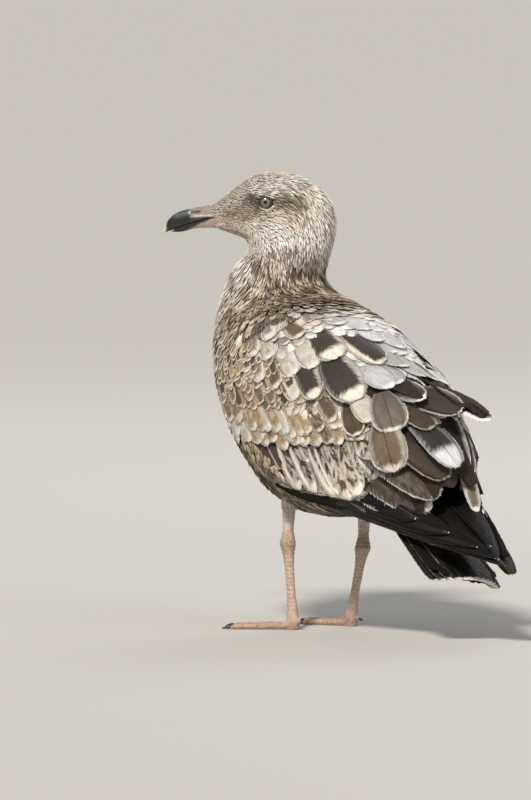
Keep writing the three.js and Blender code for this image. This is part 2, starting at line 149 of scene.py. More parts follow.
def body_axes(places):
    """Centres of the body line, and its directions towards the back and towards the tail."""
    forward, up, pitch = rows_at(BODY_LINE, places).T
    pitch = np.radians(pitch)
    none = np.zeros_like(forward)
    centre = np.stack([none, -forward, up], axis=1)
    to_back = np.stack([none, np.sin(pitch), np.cos(pitch)], axis=1)
    to_tail = np.stack([none, np.cos(pitch), -np.sin(pitch)], axis=1)
    return centre, to_back, to_tail


PLACES = np.arange(0, LAST_ROW + 0.01, 0.05)
LINE_CENTRES, LINE_BACKS, LINE_TAILS = body_axes(PLACES)
NEARNESS = 0.06  # how much the distance from the line counts beside the offset along it


def row_and_turn(points):
    """Where points lie round the body: the row of the body line, and degrees from the back."""
    off = points @ LINE_TAILS.T - np.sum(LINE_CENTRES * LINE_TAILS, axis=1)
    far = np.linalg.norm(points[:, None, :] - LINE_CENTRES[None], axis=2)
    index = np.argmin(np.abs(off) + NEARNESS * far, axis=1)
    reach = points - LINE_CENTRES[index]
    height = np.sum(reach * LINE_BACKS[index], axis=1)
    return PLACES[index], np.degrees(np.arctan2(reach[:, 0], height))


# ---------------- colour

def linear(code):
    """An sRGB hex colour as linear red, green and blue."""
    channels = [int(code[k:k + 2], 16) / 255 for k in (1, 3, 5)]
    return np.array([c / 12.92 if c <= 0.04045 else ((c + 0.055) / 1.055) ** 2.4 for c in channels])


# ---------------- flesh surfaces

def mesh_from(made, name, smooth=True):
    """The mesh of a bmesh, which is then freed."""
    mesh = bpy.data.meshes.new(name)
    made.to_mesh(mesh)
    made.free()
    mesh.polygons.foreach_set("use_smooth", np.full(len(mesh.polygons), smooth))
    return mesh


def remeshed(names, voxel, grow, extra=None):
    """Copies of CAD nodes, grown to close their cuts and melted into one surface of quads.

    The voxel is the size of a quad, and grow how far each copy swells, both in millimetres.
    """
    whole = bmesh.new()
    for name in names:
        part = bmesh.new()
        part.from_mesh(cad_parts[name].data)
        bmesh.ops.remove_doubles(part, verts=part.verts, dist=1e-6)
        part.normal_update()
        moves = [vertex.normal * (grow * MM) for vertex in part.verts]
        for vertex, move in zip(part.verts, moves):
            vertex.co += move
        copy = mesh_from(part, "copy")
        whole.from_mesh(copy)
        bpy.data.meshes.remove(copy)
    if extra is not None:
        whole.from_mesh(extra)
    body = bpy.data.objects.new("flesh", mesh_from(whole, "flesh"))
    bpy.context.scene.collection.objects.link(body)
    melt = body.modifiers.new("melt", "REMESH")
    melt.mode = "VOXEL"
    melt.voxel_size = voxel * MM
    graph = bpy.context.evaluated_depsgraph_get()
    result = bpy.data.meshes.new_from_object(body.evaluated_get(graph))
    points = np.zeros(len(result.vertices) * 3)
    result.vertices.foreach_get("co", points)
    quads = np.zeros(len(result.loops), int)
    result.loops.foreach_get("vertex_index", quads)
    bpy.data.objects.remove(body)
    bpy.data.meshes.remove(result)
    return points.reshape(-1, 3) / MM - SHIFT, quads.reshape(-1, 4)


def surface_normals(points, quads):
    """The way outwards at every point, as the mean of the quads round it."""
    first, second, third, fourth = (points[quads[:, k]] for k in range(4))
    across = np.cross(third - first, fourth - second)
    total = np.zeros_like(points)
    for axis in range(3):
        for corner in range(4):
            total[:, axis] += np.bincount(quads[:, corner], across[:, axis], len(points))
    return unit(total)


def relaxed(points, quads, rounds, weight=1.0):
    """Points drawn half way to the middle of their neighbours, round after round."""
    starts = [quads[:, k] for k in range(4)]
    ends = [quads[:, (k + 1) % 4] for k in range(4)]
    first = np.concatenate(starts + ends)
    second = np.concatenate(ends + starts)
    count = np.maximum(np.bincount(first, minlength=len(points)), 1)
    share = 0.5 * np.broadcast_to(weight, len(points))
    for _ in range(rounds):
        for axis in range(3):
            mean = np.bincount(first, points[second, axis], len(points)) / count
            points[:, axis] += share * (mean - points[:, axis])
    return points


def folded_mass_mesh():
    """The solid under the long inner feathers: rings from side to side, closed along the body line."""
    turns = np.radians(np.linspace(-100, 100, 25))
    places = np.linspace(0, len(FOLDED_MASS) - 1, 13)
    power = 2 / SQUARENESS
    mass = bmesh.new()
    rings = []
    for forward, up, pitch, half, back, belly in rows_at(FOLDED_MASS, places):
        slope = math.radians(pitch)
        ring = []
        for turn in turns:
            side = half * math.copysign(abs(math.sin(turn)) ** power, math.sin(turn))
            reach = back if math.cos(turn) > 0 else belly
            height = reach * math.copysign(abs(math.cos(turn)) ** power, math.cos(turn))
            place = at(forward - math.sin(slope) * height, side, up + math.cos(slope) * height)
            ring.append(mass.verts.new((place + SHIFT) * MM))
        ring.append(mass.verts.new((at(forward, 0, up) + SHIFT) * MM))
        rings.append(ring)
    count = len(rings[0])
    for before, after in zip(rings, rings[1:]):
        for k in range(count):
            n = (k + 1) % count
            mass.faces.new((before[k], before[n], after[n], after[k]))
    for ring in (rings[0], rings[-1]):
        for k in range(count - 2):
            mass.faces.new((ring[k], ring[k + 1], ring[-1]))
    bmesh.ops.recalc_face_normals(mass, faces=mass.faces)
    return mesh_from(mass, "folded_mass")


FAR_OUT = 160  # past the outside of the bird, in millimetres from its body line


class Surface:
    """A smooth surface that feathers lie on."""

    def __init__(self, points, quads):
        self.points = points
        self.quads = quads
        self.normals = surface_normals(points, quads)
        self.tree = BVHTree.FromPolygons(points.tolist(), quads.tolist())

    def snap(self, points):
        """The nearest places on the surface, and its directions outwards there."""
        shape = points.shape
        flat = points.reshape(-1, 3)
        places = np.empty_like(flat)
        faces = np.empty(len(flat), int)
        for k, point in enumerate(flat):
            place, _, face, _ = self.tree.find_nearest(point)
            places[k] = place
            faces[k] = face
        normals = unit(self.normals[self.quads[faces]].mean(axis=1))
        return places.reshape(shape), normals.reshape(shape)

    def at_turn(self, rows, turns):
        """The outermost places at rows of the body line and degrees round from the back."""
        rows = np.atleast_1d(np.asarray(rows, float))
        turns = np.radians(np.atleast_1d(np.asarray(turns, float)))
        centre, to_back, _ = body_axes(rows)
        outward = np.cos(turns)[:, None] * to_back
        outward[:, 0] += np.sin(turns)
        start = centre + outward * FAR_OUT
        places = np.empty((len(rows), 3))
        for k in range(len(rows)):
            hit, _, _, _ = self.tree.ray_cast(Vector(start[k]), Vector(-outward[k]))
            places[k] = hit if hit is not None else centre[k]
        return places


def fluffed(points, quads):
    """The head with its crown and nape feathers a little raised, and its throat a little hollow."""
    raised, hollow = 1.7, 3.0
    ahead, _, above = head_place(points)
    crown = smoothstep(6, 20, above) * smoothstep(50, 34, ahead)
    nape = smoothstep(-26, -42, ahead) * smoothstep(-62, -40, above)
    throat = np.exp(-((above + 39) / 10) ** 2) * smoothstep(0, 22, ahead)
    move = raised * np.maximum(crown, nape) - hollow * throat
    return points + surface_normals(points, quads) * move[:, None]


CREASE_LEVEL = 293  # how high the head meets the neck, in millimetres


def nape_crease(points):
    """From 0 to 1, how near points are to the crease that the coat fills behind the head."""
    near = np.exp(-((points[:, 2] - CREASE_LEVEL) / 13) ** 2)
    return near * smoothstep(22, 2, head_place(points)[0])


FLESH = ["head", "neck", "trunk", "wing_left", "wing_right"]
EYES = ["eye_left", "eye_right"]
BILL = ["bill_upper", "bill_lower"]


def coat_surface():
    """The outside of the coat, where the feather tips lie."""
    points, quads = remeshed([*FLESH, *EYES, *BILL], voxel=1.8, grow=0.6, extra=folded_mass_mesh())
    crease = nape_crease(points)
    points = relaxed(points, quads, 4)
    points = relaxed(points, quads, 70, crease)
    points = relaxed(points, quads, 25, smoothstep(300, 270, points[:, 2]))
    return Surface(fluffed(points, quads), quads)


coat = coat_surface()


def lie_of_coat(points):
    """The way feathers point: from the bill over the head, down the neck, then along the body."""
    rows, _ = row_and_turn(points)
    _, _, to_tail = body_axes(rows)
    ahead, _, above = head_place(points)
    droop = 8 + 62 * smoothstep(-6, -44, ahead) + 52 * smoothstep(-6, -38, above)
    steepest = 84
    droop = np.radians(np.clip(droop, 0, steepest))[:, None]
    over_head = -HEAD_AHEAD * np.cos(droop) - UP * np.sin(droop)
    on_head = smoothstep(278, 300, points[:, 2])[:, None]
    return unit(lerp(to_tail, over_head, on_head))


# ---------------- markings

# A look: colour of a feather's middle and of its fringe, share of dark feathers, contrast between
# clumps, then in millimetres the fringe at its sides, at its tip and how ragged that is; then bars
# across the vane, darkness of the shaft, and how far the middle leans to one side.
LOOKS = {
    "forehead": ("#9c8e79", "#e4dbcd", 0.34, 1.1, 0.4, 0.6, 0.3, 0, 0, 0),
    "crown": ("#8a7c69", "#f1eae0", 0.34, 1.4, 0.4, 0.7, 0.4, 0, 0, 0),
    "lores": ("#6f624f", "#c3b69f", 0.42, 1.3, 0.3, 0.5, 0.3, 0, 0, 0),
    "eye_smudge": ("#3b332b", "#7d705f", 0.75, 0.8, 0.3, 0.3, 0.2, 0, 0, 0),
    "under_eye": ("#857761", "#ded5c5", 0.4, 1.1, 0.3, 0.4, 0.3, 0, 0, 0),
    "eye_line": ("#5d4f3d", "#b9aa92", 0.62, 1.1, 0.3, 0.5, 0.4, 0, 0, 0),
    "ear": ("#a08c73", "#e2d6c0", 0.34, 1.6, 0.4, 0.6, 0.4, 0, 0, 0),
    "cheek": ("#b3a48b", "#faf7f1", 0.2, 1.2, 0.4, 0.7, 0.4, 0, 0, 0),
    "chin": ("#9c8a6d", "#e4dac8", 0.36, 1.1, 0.3, 0.5, 0.4, 0, 0, 0),
    "throat": ("#a8987e", "#f7f2e8", 0.28, 1.3, 0.4, 0.8, 0.5, 0, 0, 0),
    "nape": ("#876f52", "#fffaee", 0.2, 1.9, 0.5, 1.0, 0.6, 0, 0.1, 0),
    "neck_pale": ("#715d44", "#faf4e9", 0.38, 3.3, 0.5, 1.0, 0.6, 0, 0.1, 0),
    "neck_white": ("#7a6850", "#fcf9f2", 0.26, 1.9, 0.5, 1.1, 0.6, 0, 0.1, 0),
    "neck_brown": ("#665239", "#ecdfc8", 0.54, 3.2, 0.5, 0.9, 0.6, 0, 0.1, 0),
    "neck_dark": ("#5e4e3a", "#d2c2a6", 0.6, 2.4, 0.4, 0.8, 0.5, 0, 0.1, 0),
    "collar": ("#6e5b46", "#ddceb6", 0.54, 2.2, 0.4, 0.9, 0.6, 0, 0.1, 0),
    "breast_streak": ("#6c5b45", "#f1e9db", 0.46, 1.7, 0.5, 1.1, 0.6, 0, 0.1, 0),
    "breast_side": ("#6f5f4a", "#e6dbc7", 0.5, 1.9, 0.5, 1.1, 0.6, 0.1, 0.1, 0),
    "breast": ("#7d6e58", "#e4dbca", 0.46, 1.6, 0.5, 1.2, 0.8, 0.1, 0, 0),
    "flank": ("#7b6b53", "#c0b194", 0.45, 0.8, 0.6, 1.4, 0.9, 0.1, 0, 0),
    "belly": ("#685a46", "#b0a287", 0.5, 1.1, 0.6, 1.2, 0.9, 0.1, 0, 0),
    "vent": ("#453b2d", "#988a70", 0.55, 1.2, 0.6, 1.3, 0.9, 0.2, 0, 0),
    "undertail": ("#4b3e2b", "#e6ddca", 0.5, 1.0, 1.2, 2.0, 1.2, 0.8, 0.1, 0),
    "rump": ("#2b241d", "#6b5f50", 0.6, 1.0, 1.2, 2.0, 1.2, 0.2, 0.1, 0),
    "mantle_brown": ("#5a4e40", "#b6a78d", 0.58, 1.4, 0.8, 1.6, 0.8, 0, 0.2, 0),
    "mantle_mixed": ("#5c5246", "#dfd8cb", 0.48, 1.6, 1.0, 2.2, 1.2, 0, 0.2, 0),
    "grey_back": ("#aeb0b2", "#e8e8e5", 0.3, 1.5, 1.4, 3.4, 2.4, 0, 0.12, 0),
    "shoulder": ("#6f5f4a", "#e3d7c2", 0.5, 1.4, 0.8, 1.6, 0.8, 0, 0.3, 0),
    "lesser": ("#75624b", "#ddd2bf", 0.5, 0.9, 1.0, 1.7, 0.7, 0.1, 0.3, 0),
    "lesser_buff": ("#967f60", "#dfd4c0", 0.5, 0.9, 1.0, 2.0, 0.8, 0, 0.3, 0),
    "lesser_dark": ("#544432", "#d6cab5", 0.5, 0.9, 0.9, 1.5, 0.7, 0, 0.3, 0),
    "median": ("#9b8262", "#e2d9c9", 0.5, 0.8, 1.6, 4.0, 2.0, 0.35, 0.2, -0.1),
    "median_dark": ("#6a5842", "#ddd2c0", 0.5, 0.8, 1.6, 3.4, 1.6, 0.2, 0.3, -0.1),
    "median_grey": ("#b9b4a8", "#e0dcd2", 0.5, 0.8, 1.4, 5.0, 2.2, 0.2, 0.2, 0),
    "greater_front": ("#493c2a", "#ddd0ba", 0.5, 0.5, 1.3, 1.6, 0.5, 0.0, 0.2, -0.3),
    "greater": ("#453626", "#faf3e6", 0.5, 0.6, 2.8, 7.0, 1.7, 0.45, 0.1, -0.4),
    "greater_inner": ("#5d4932", "#f8f2e7", 0.5, 0.4, 2.6, 7.0, 2.6, 0.6, 0.2, -0.15),
    "covert_rounded": ("#6b6255", "#e6e0d4", 0.5, 0.3, 2.2, 3.4, 1.4, 0, 0.9, 0),
    "covert_lower": ("#6a5b46", "#dcd6c9", 0.5, 0.3, 4.4, 6.5, 2.6, 0, 0.9, 0.05),
    "covert_dark": ("#50422f", "#f1eadc", 0.5, 0.3, 1.0, 2.0, 0.9, 0, 0.7, 0),
    "scapular_dark": ("#3a342d", "#e9e2d5", 0.5, 0.3, 2.2, 7.5, 2.4, 0, 0.1, 0.1),
    "scapular_long": ("#37312b", "#ece5d8", 0.5, 0.3, 1.4, 4.4, 2.2, 0, 0.2, -0.32),
    "scapular_thin": ("#3b342b", "#f3eee4", 0.5, 0.3, 0.8, 1.6, 0.8, 0, 0.3, -0.2),
    "scapular_brown": ("#5f5141", "#e4dccd", 0.5, 0.3, 1.8, 4.0, 2.0, 0, 0.2, -0.1),
    "scapular_mixed": ("#7b7062", "#e4dfd4", 0.5, 0.4, 2.4, 6.0, 2.8, 0.1, 0.2, 0.2),
    "scapular_pale": ("#c6c0b4", "#e6e1d7", 0.5, 0.5, 2.0, 5.0, 2.8, 0.3, 0.05, 0),
    "scapular_mist": ("#aeaaa3", "#dfdbd3", 0.5, 0.5, 2.4, 5.0, 2.8, 0.5, 0.05, 0.1),
    "scapular_grey": ("#a9abad", "#e3e3e1", 0.5, 0.5, 1.6, 3.6, 2.0, 0, 0.1, 0),
    "scapular_blue": ("#bfc1c4", "#ecece9", 0.5, 0.5, 1.6, 4.0, 2.4, 0, 0.1, 0),
    "scapular_patch": ("#39332c", "#ebe4d7", 0.5, 0.3, 2.6, 11.0, 3.0, 0, 0.1, 0.1),
    "raised_tip": ("#3f3831", "#faf8f4", 0.5, 0.2, 0.9, 6.5, 2.6, 0, 0.3, 0.42),
    "tertial_grey": ("#70675d", "#f4f0e9", 0.5, 0.3, 1.9, 4.0, 1.2, 0, 0.5, 0),
    "raised_dark": ("#352d26", "#f6f3ed", 0.5, 0.2, 0.7, 1.2, 0.4, 0, 0.3, -0.05),
    "raised_white": ("#3f3831", "#faf8f4", 0.5, 0.2, 0.8, 3.0, 1.4, 0, 0.3, -0.42),
    "tertial_white": ("#2f2b28", "#dcdde1", 0.5, 0.2, 0.7, 19.5, 3.0, 0, 0.9, -0.05),
    "tertial_brown": ("#41362b", "#c4b59a", 0.5, 0.3, 0.8, 1.4, 1.0, 0, 0.5, 0),
    "tertial_tipped": ("#43382d", "#f3eee3", 0.5, 0.3, 0.8, 4.8, 3.6, 0.05, 0.5, 0),
    "tertial_edged": ("#4a4036", "#ded6c9", 0.5, 0.3, 1.3, 2.0, 0.6, 0, 0.5, 0),
    # The packed inner vanes under the tertials, plain dark partly as painted shade.
    "tertial_under": ("#3b3127", "#3b3127", 0.5, 0.2, 0.3, 0.5, 0.2, 0, 0.3, 0),
    "primary_tip": ("#2a211a", "#c9bda8", 0.5, 0.2, 0.4, 1.2, 0.5, 0, 0.3, 0),
    "secondary": ("#17130f", "#4a3f33", 0.5, 0.2, 0.3, 0.5, 0.2, 0, 0.3, 0),
    "primary": ("#100e0d", "#cfc6b5", 0.5, 0.2, 0.0, 0.7, 0.25, 0, 0.3, 0),
    "primary_blue": ("#151a24", "#b9b4ab", 0.5, 0.2, 0.0, 0.7, 0.25, 0, 0.3, 0),
    "tail": ("#0e0b09", "#f2ece1", 0.5, 0.2, 0.0, 2.4, 1.4, 0, 0.2, 0),
    "tail_outer": ("#110d0b", "#ebe5d9", 0.5, 0.2, 0.0, 1.6, 1.1, 0, 0.2, 0),
    "lid": ("#b7ab97", "#e9e2d4", 0.3, 0.5, 0.3, 0.4, 0.2, 0, 0, 0),
    "shin": ("#a3947c", "#ded5c3", 0.4, 0.8, 0.4, 0.8, 0.5, 0, 0, 0),
}
# The columns that a look becomes: two colours, then its numbers in the order above.
MARK, GROUND = slice(0, 3), slice(3, 6)
SHARE, CONTRAST, SIDE_FRINGE, TIP_FRINGE, RAGGED, BARS, SHAFT, LEAN = range(6, 14)
LOOK_ROWS = {name: [*linear(mark), *linear(ground), *numbers]
             for name, (mark, ground, *numbers) in LOOKS.items()}


def named_looks(names):
    return np.array([LOOK_ROWS[name] for name in names])


# Where each look centres on the head: ahead of the eyes, sideways and above them, and its spread.
HEAD_MARKINGS = [
    (38, 6, -2, 9, "forehead"), (26, 8, 9, 11, "forehead"), (10, 8, 20, 13, "crown"),
    (-8, 9, 22, 14, "crown"), (-26, 9, 18, 14, "crown"), (-39, 8, 6, 11, "nape"),
    (30, 11, -9, 7, "lores"), (17, 17, -6, 8, "lores"), (8, 20, 2.5, 3.8, "eye_smudge"),
    (13, 18, 5, 3.2, "eye_smudge"), (6, 21, -4, 3.0, "eye_smudge"), (-1, 21, -9, 6, "under_eye"),
    (3, 20, 8, 6, "crown"),
    (-8, 22, 1.5, 4, "eye_line"), (-15, 22, 3, 6, "eye_line"), (-26, 22, 4, 8, "eye_line"),
    (-25, 22, -11, 9, "ear"), (-14, 22, -10, 6, "ear"), (-7, 21, -18, 8, "cheek"),
    (-20, 22, -25, 10, "cheek"), (-34, 21, -22, 9, "cheek"), (-38, 17, -6, 9, "nape"),
    (-47, 4, -12, 11, "nape"), (-43, 10, -28, 12, "nape"), (30, 8, -17, 7, "chin"),
    (20, 10, -23, 8, "chin"), (10, 15, -19, 8, "throat"), (10, 6, -33, 10, "throat"),
    (0, 12, -32, 10, "cheek"), (-8, 18, -36, 10, "throat"), (-24, 20, -38, 9, "neck_pale"),
]
# The same round the body: row of the body line, degrees from the back, and spread.
BODY_MARKINGS = [
    (2.5, 0, 9, "neck_pale"), (2.4, 35, 8, "neck_pale"), (2.75, 8, 8, "neck_dark"),
    (2.7, 52, 7, "neck_brown"), (3.0, 48, 8, "neck_brown"), (3.3, 66, 9, "neck_brown"),
    (3.2, 84, 9, "neck_pale"), (3.35, 60, 4.5, "neck_dark"), (2.95, 49, 4, "neck_dark"),
    (3.45, 38, 5, "neck_dark"), (3.85, 76, 5, "neck_dark"), (3.0, 74, 4, "neck_white"),
    (3.65, 92, 5, "neck_white"), (2.6, 20, 4.5, "neck_white"), (3.15, 28, 4, "neck_pale"),
    (2.9, 105, 11, "neck_white"), (3.1, 140, 14, "neck_white"), (3.2, 180, 16, "neck_white"),
    (3.7, 8, 10, "collar"), (3.8, 40, 9, "neck_dark"), (3.9, 60, 9, "neck_brown"),
    (4.1, 82, 10, "neck_brown"), (4.0, 102, 10, "breast_streak"), (4.3, 130, 15, "neck_white"),
    (4.4, 180, 20, "neck_white"), (4.4, 10, 10, "collar"), (4.6, 40, 10, "collar"),
    (4.9, 60, 10, "collar"), (4.9, 78, 10, "breast_side"), (5.2, 98, 13, "breast_side"),
    (5.3, 120, 15, "breast_streak"), (5.6, 150, 22, "breast"), (5.6, 180, 24, "breast"),
    (6.3, 100, 12, "breast_side"), (7.0, 112, 13, "breast_side"), (7.3, 140, 24, "breast"),
    (7.5, 180, 26, "breast"), (8.2, 124, 12, "flank"), (9.0, 128, 12, "flank"),
    (9.0, 150, 20, "belly"), (9.0, 180, 24, "belly"), (9.8, 138, 14, "belly"),
    (10.8, 135, 16, "vent"), (11.0, 170, 20, "vent"), (12.3, 150, 16, "undertail"),
    (13.6, 160, 20, "undertail"), (12.6, 30, 20, "rump"), (14.0, 0, 20, "rump"),
    (5.0, 0, 12, "mantle_brown"), (5.2, 25, 12, "mantle_brown"), (5.4, 50, 12, "mantle_brown"),
    (5.9, 68, 12, "shoulder"), (6.5, 76, 11, "shoulder"), (5.9, 0, 13, "mantle_mixed"),
    (6.1, 24, 12, "mantle_mixed"), (6.5, 45, 12, "mantle_mixed"), (7.3, 60, 13, "mantle_mixed"),
    (7.2, 0, 15, "grey_back"), (7.6, 22, 12, "grey_back"), (8.6, 0, 18, "grey_back"),
    (9.6, 12, 16, "grey_back"), (10.6, 8, 18, "grey_back"), (8.4, 45, 14, "mantle_mixed"),
    (9.8, 45, 16, "mantle_mixed"), (10.8, 40, 16, "mantle_mixed"), (8.0, 90, 18, "lesser"),
    (9.5, 92, 18, "median"), (11.0, 95, 18, "greater"),
]


def look_table():
    """Every marking's place, spread and numbers, on both sides."""
    places, spreads, names = [], [], []
    for ahead, side, above, spread, name in HEAD_MARKINGS:
        for sign in SIDES.values():
            places.append(head_point(ahead, sign * side, above))
            spreads.append(spread)
            names.append(name)
    rows, turns, body_spreads, body_names = zip(*BODY_MARKINGS)
    for sign in SIDES.values():
        places.extend(coat.at_turn(rows, sign * np.array(turns, float)))
        spreads.extend(body_spreads)
        names.extend(body_names)
    return np.array(places), np.array(spreads), named_looks(names)


MARKING_PLACES, MARKING_SPREADS, MARKING_NUMBERS = look_table()
BATCH = 20000  # points that are blended at a time, to spare memory


def looks_at(points):
    """The blend of looks at many points, one row of numbers for each."""
    result = np.empty((len(points), MARKING_NUMBERS.shape[1]))
    for start in range(0, len(points), BATCH):
        part = points[start:start + BATCH]
        far = np.linalg.norm(part[:, None, :] - MARKING_PLACES[None], axis=2) / MARKING_SPREADS
        weight = np.exp(-1.6 * far ** 2) + 1e-9 / (1 + far ** 4)
        weight /= weight.sum(axis=1, keepdims=True)
        result[start:start + BATCH] = weight @ MARKING_NUMBERS
    return result


def clumps(points, size, seed):
    """Soft noise from about -1 to 1 with clumps of one size."""
    return np.array([noise.noise(Vector(point / size) + Vector((seed, 0, 0))) for point in points]) * 1.8


def streaked(points, looks, clump, wild=0.22, edge=0.5):
    """Small feathers: each is all dark or all pale, as its clump decides, with a paler tip.

    The clump is a size in millimetres, wild is how far single feathers stray from their clump,
    and edge is how much of a feather's darkness reaches its fringe.
    """
    mark, ground = looks[:, MARK], looks[:, GROUND]
    patchy = 0.55 * clumps(points, clump, 3.1) + 0.4 * clumps(points, clump * 0.4, 9.7)
    dark = looks[:, SHARE] + 0.42 * looks[:, CONTRAST] * patchy + wild * rng.normal(size=len(points))
    dark = smoothstep(0.12, 0.88, dark)[:, None]
    tone = rng.normal(1, 0.07, len(points))[:, None]
    result = looks.copy()
    result[:, MARK] = lerp(ground, mark, dark) * tone
    result[:, GROUND] = lerp(ground, mark, dark * edge) * tone
    return result


def varied(points, looks, amount=0.1):
    """Large feathers: patterned vanes that differ a little in tone and fringe."""
    result = looks.copy()
    tone = 1 + amount * (rng.normal(size=len(points)) + 0.6 * clumps(points, 18, 5.3))
    result[:, MARK] *= np.clip(tone, 0.6, 1.4)[:, None]
    result[:, GROUND] *= rng.normal(1, amount * 0.4, len(points))[:, None]
    result[:, [SIDE_FRINGE, TIP_FRINGE]] *= rng.uniform(0.8, 1.25, (len(points), 1))
    return result


# ---------------- vanes

# A vane's stations from root to tip, its width at each, where its upper face has points across,
# how thick it is, and how far its middle stands up and its edges bend down, by its half width.
TUFT = dict(stations=(0, 0.35, 0.7, 0.9, 1), widths=(0.6, 1, 0.78, 0.42, 0.06),
            across=(-1, 0, 1), thickness=0, crown=0.42, droop=0.0)
STRAND = dict(stations=(0, 0.4, 0.75, 0.92, 1), widths=(0.75, 1, 0.8, 0.45, 0.1),
              across=(-1, 0, 1), thickness=0, crown=0.2, droop=0.02)
BROAD = dict(stations=(0, 0.25, 0.5, 0.7, 0.84, 0.93, 0.98, 1),
             widths=(0.45, 0.82, 1, 1, 0.88, 0.66, 0.4, 0.14),
             across=(-1, -0.55, 0, 0.55, 1), thickness=0.4, crown=0.03, droop=0.07)
BLADE = dict(stations=(0, 0.2, 0.45, 0.7, 0.86, 0.95, 1), widths=(1, 1, 0.95, 0.84, 0.66, 0.4, 0.1),
             across=(-1, -0.5, 0, 0.5, 1), thickness=0.7, crown=0.03, droop=0.06)
SQUARE = dict(stations=(0, 0.25, 0.5, 0.75, 0.9, 0.97, 1), widths=(0.6, 0.8, 0.95, 1, 0.95, 0.78, 0.45),
              across=(-1, -0.5, 0, 0.5, 1), thickness=0.7, crown=0.03, droop=0.05)

# How a vane splits into strands: where each lies between its edges, and how far it reaches.
WHOLE = ((-1, 1, 1.0),)
LOOSE = ((-1, -0.1, 0.88), (0.1, 1, 0.9), (-0.55, 0.55, 1.0))
NOTCH = 0.01  # how uneven the tip of a broad vane is, by its length
BARB_HALF = 0.3  # half width, lift and hidden root of a loose barb, in millimetres
BARB_LIFT = 0.12
BARB_ROOT = 1.2
BARB_REACH = (0.03, 0.13)  # how far the loose barbs stand out, by the vane's half width
BAKE_PATCH = 0.003  # the side of each feather's patch in the baking map
BAKE_MARGIN = 0.06


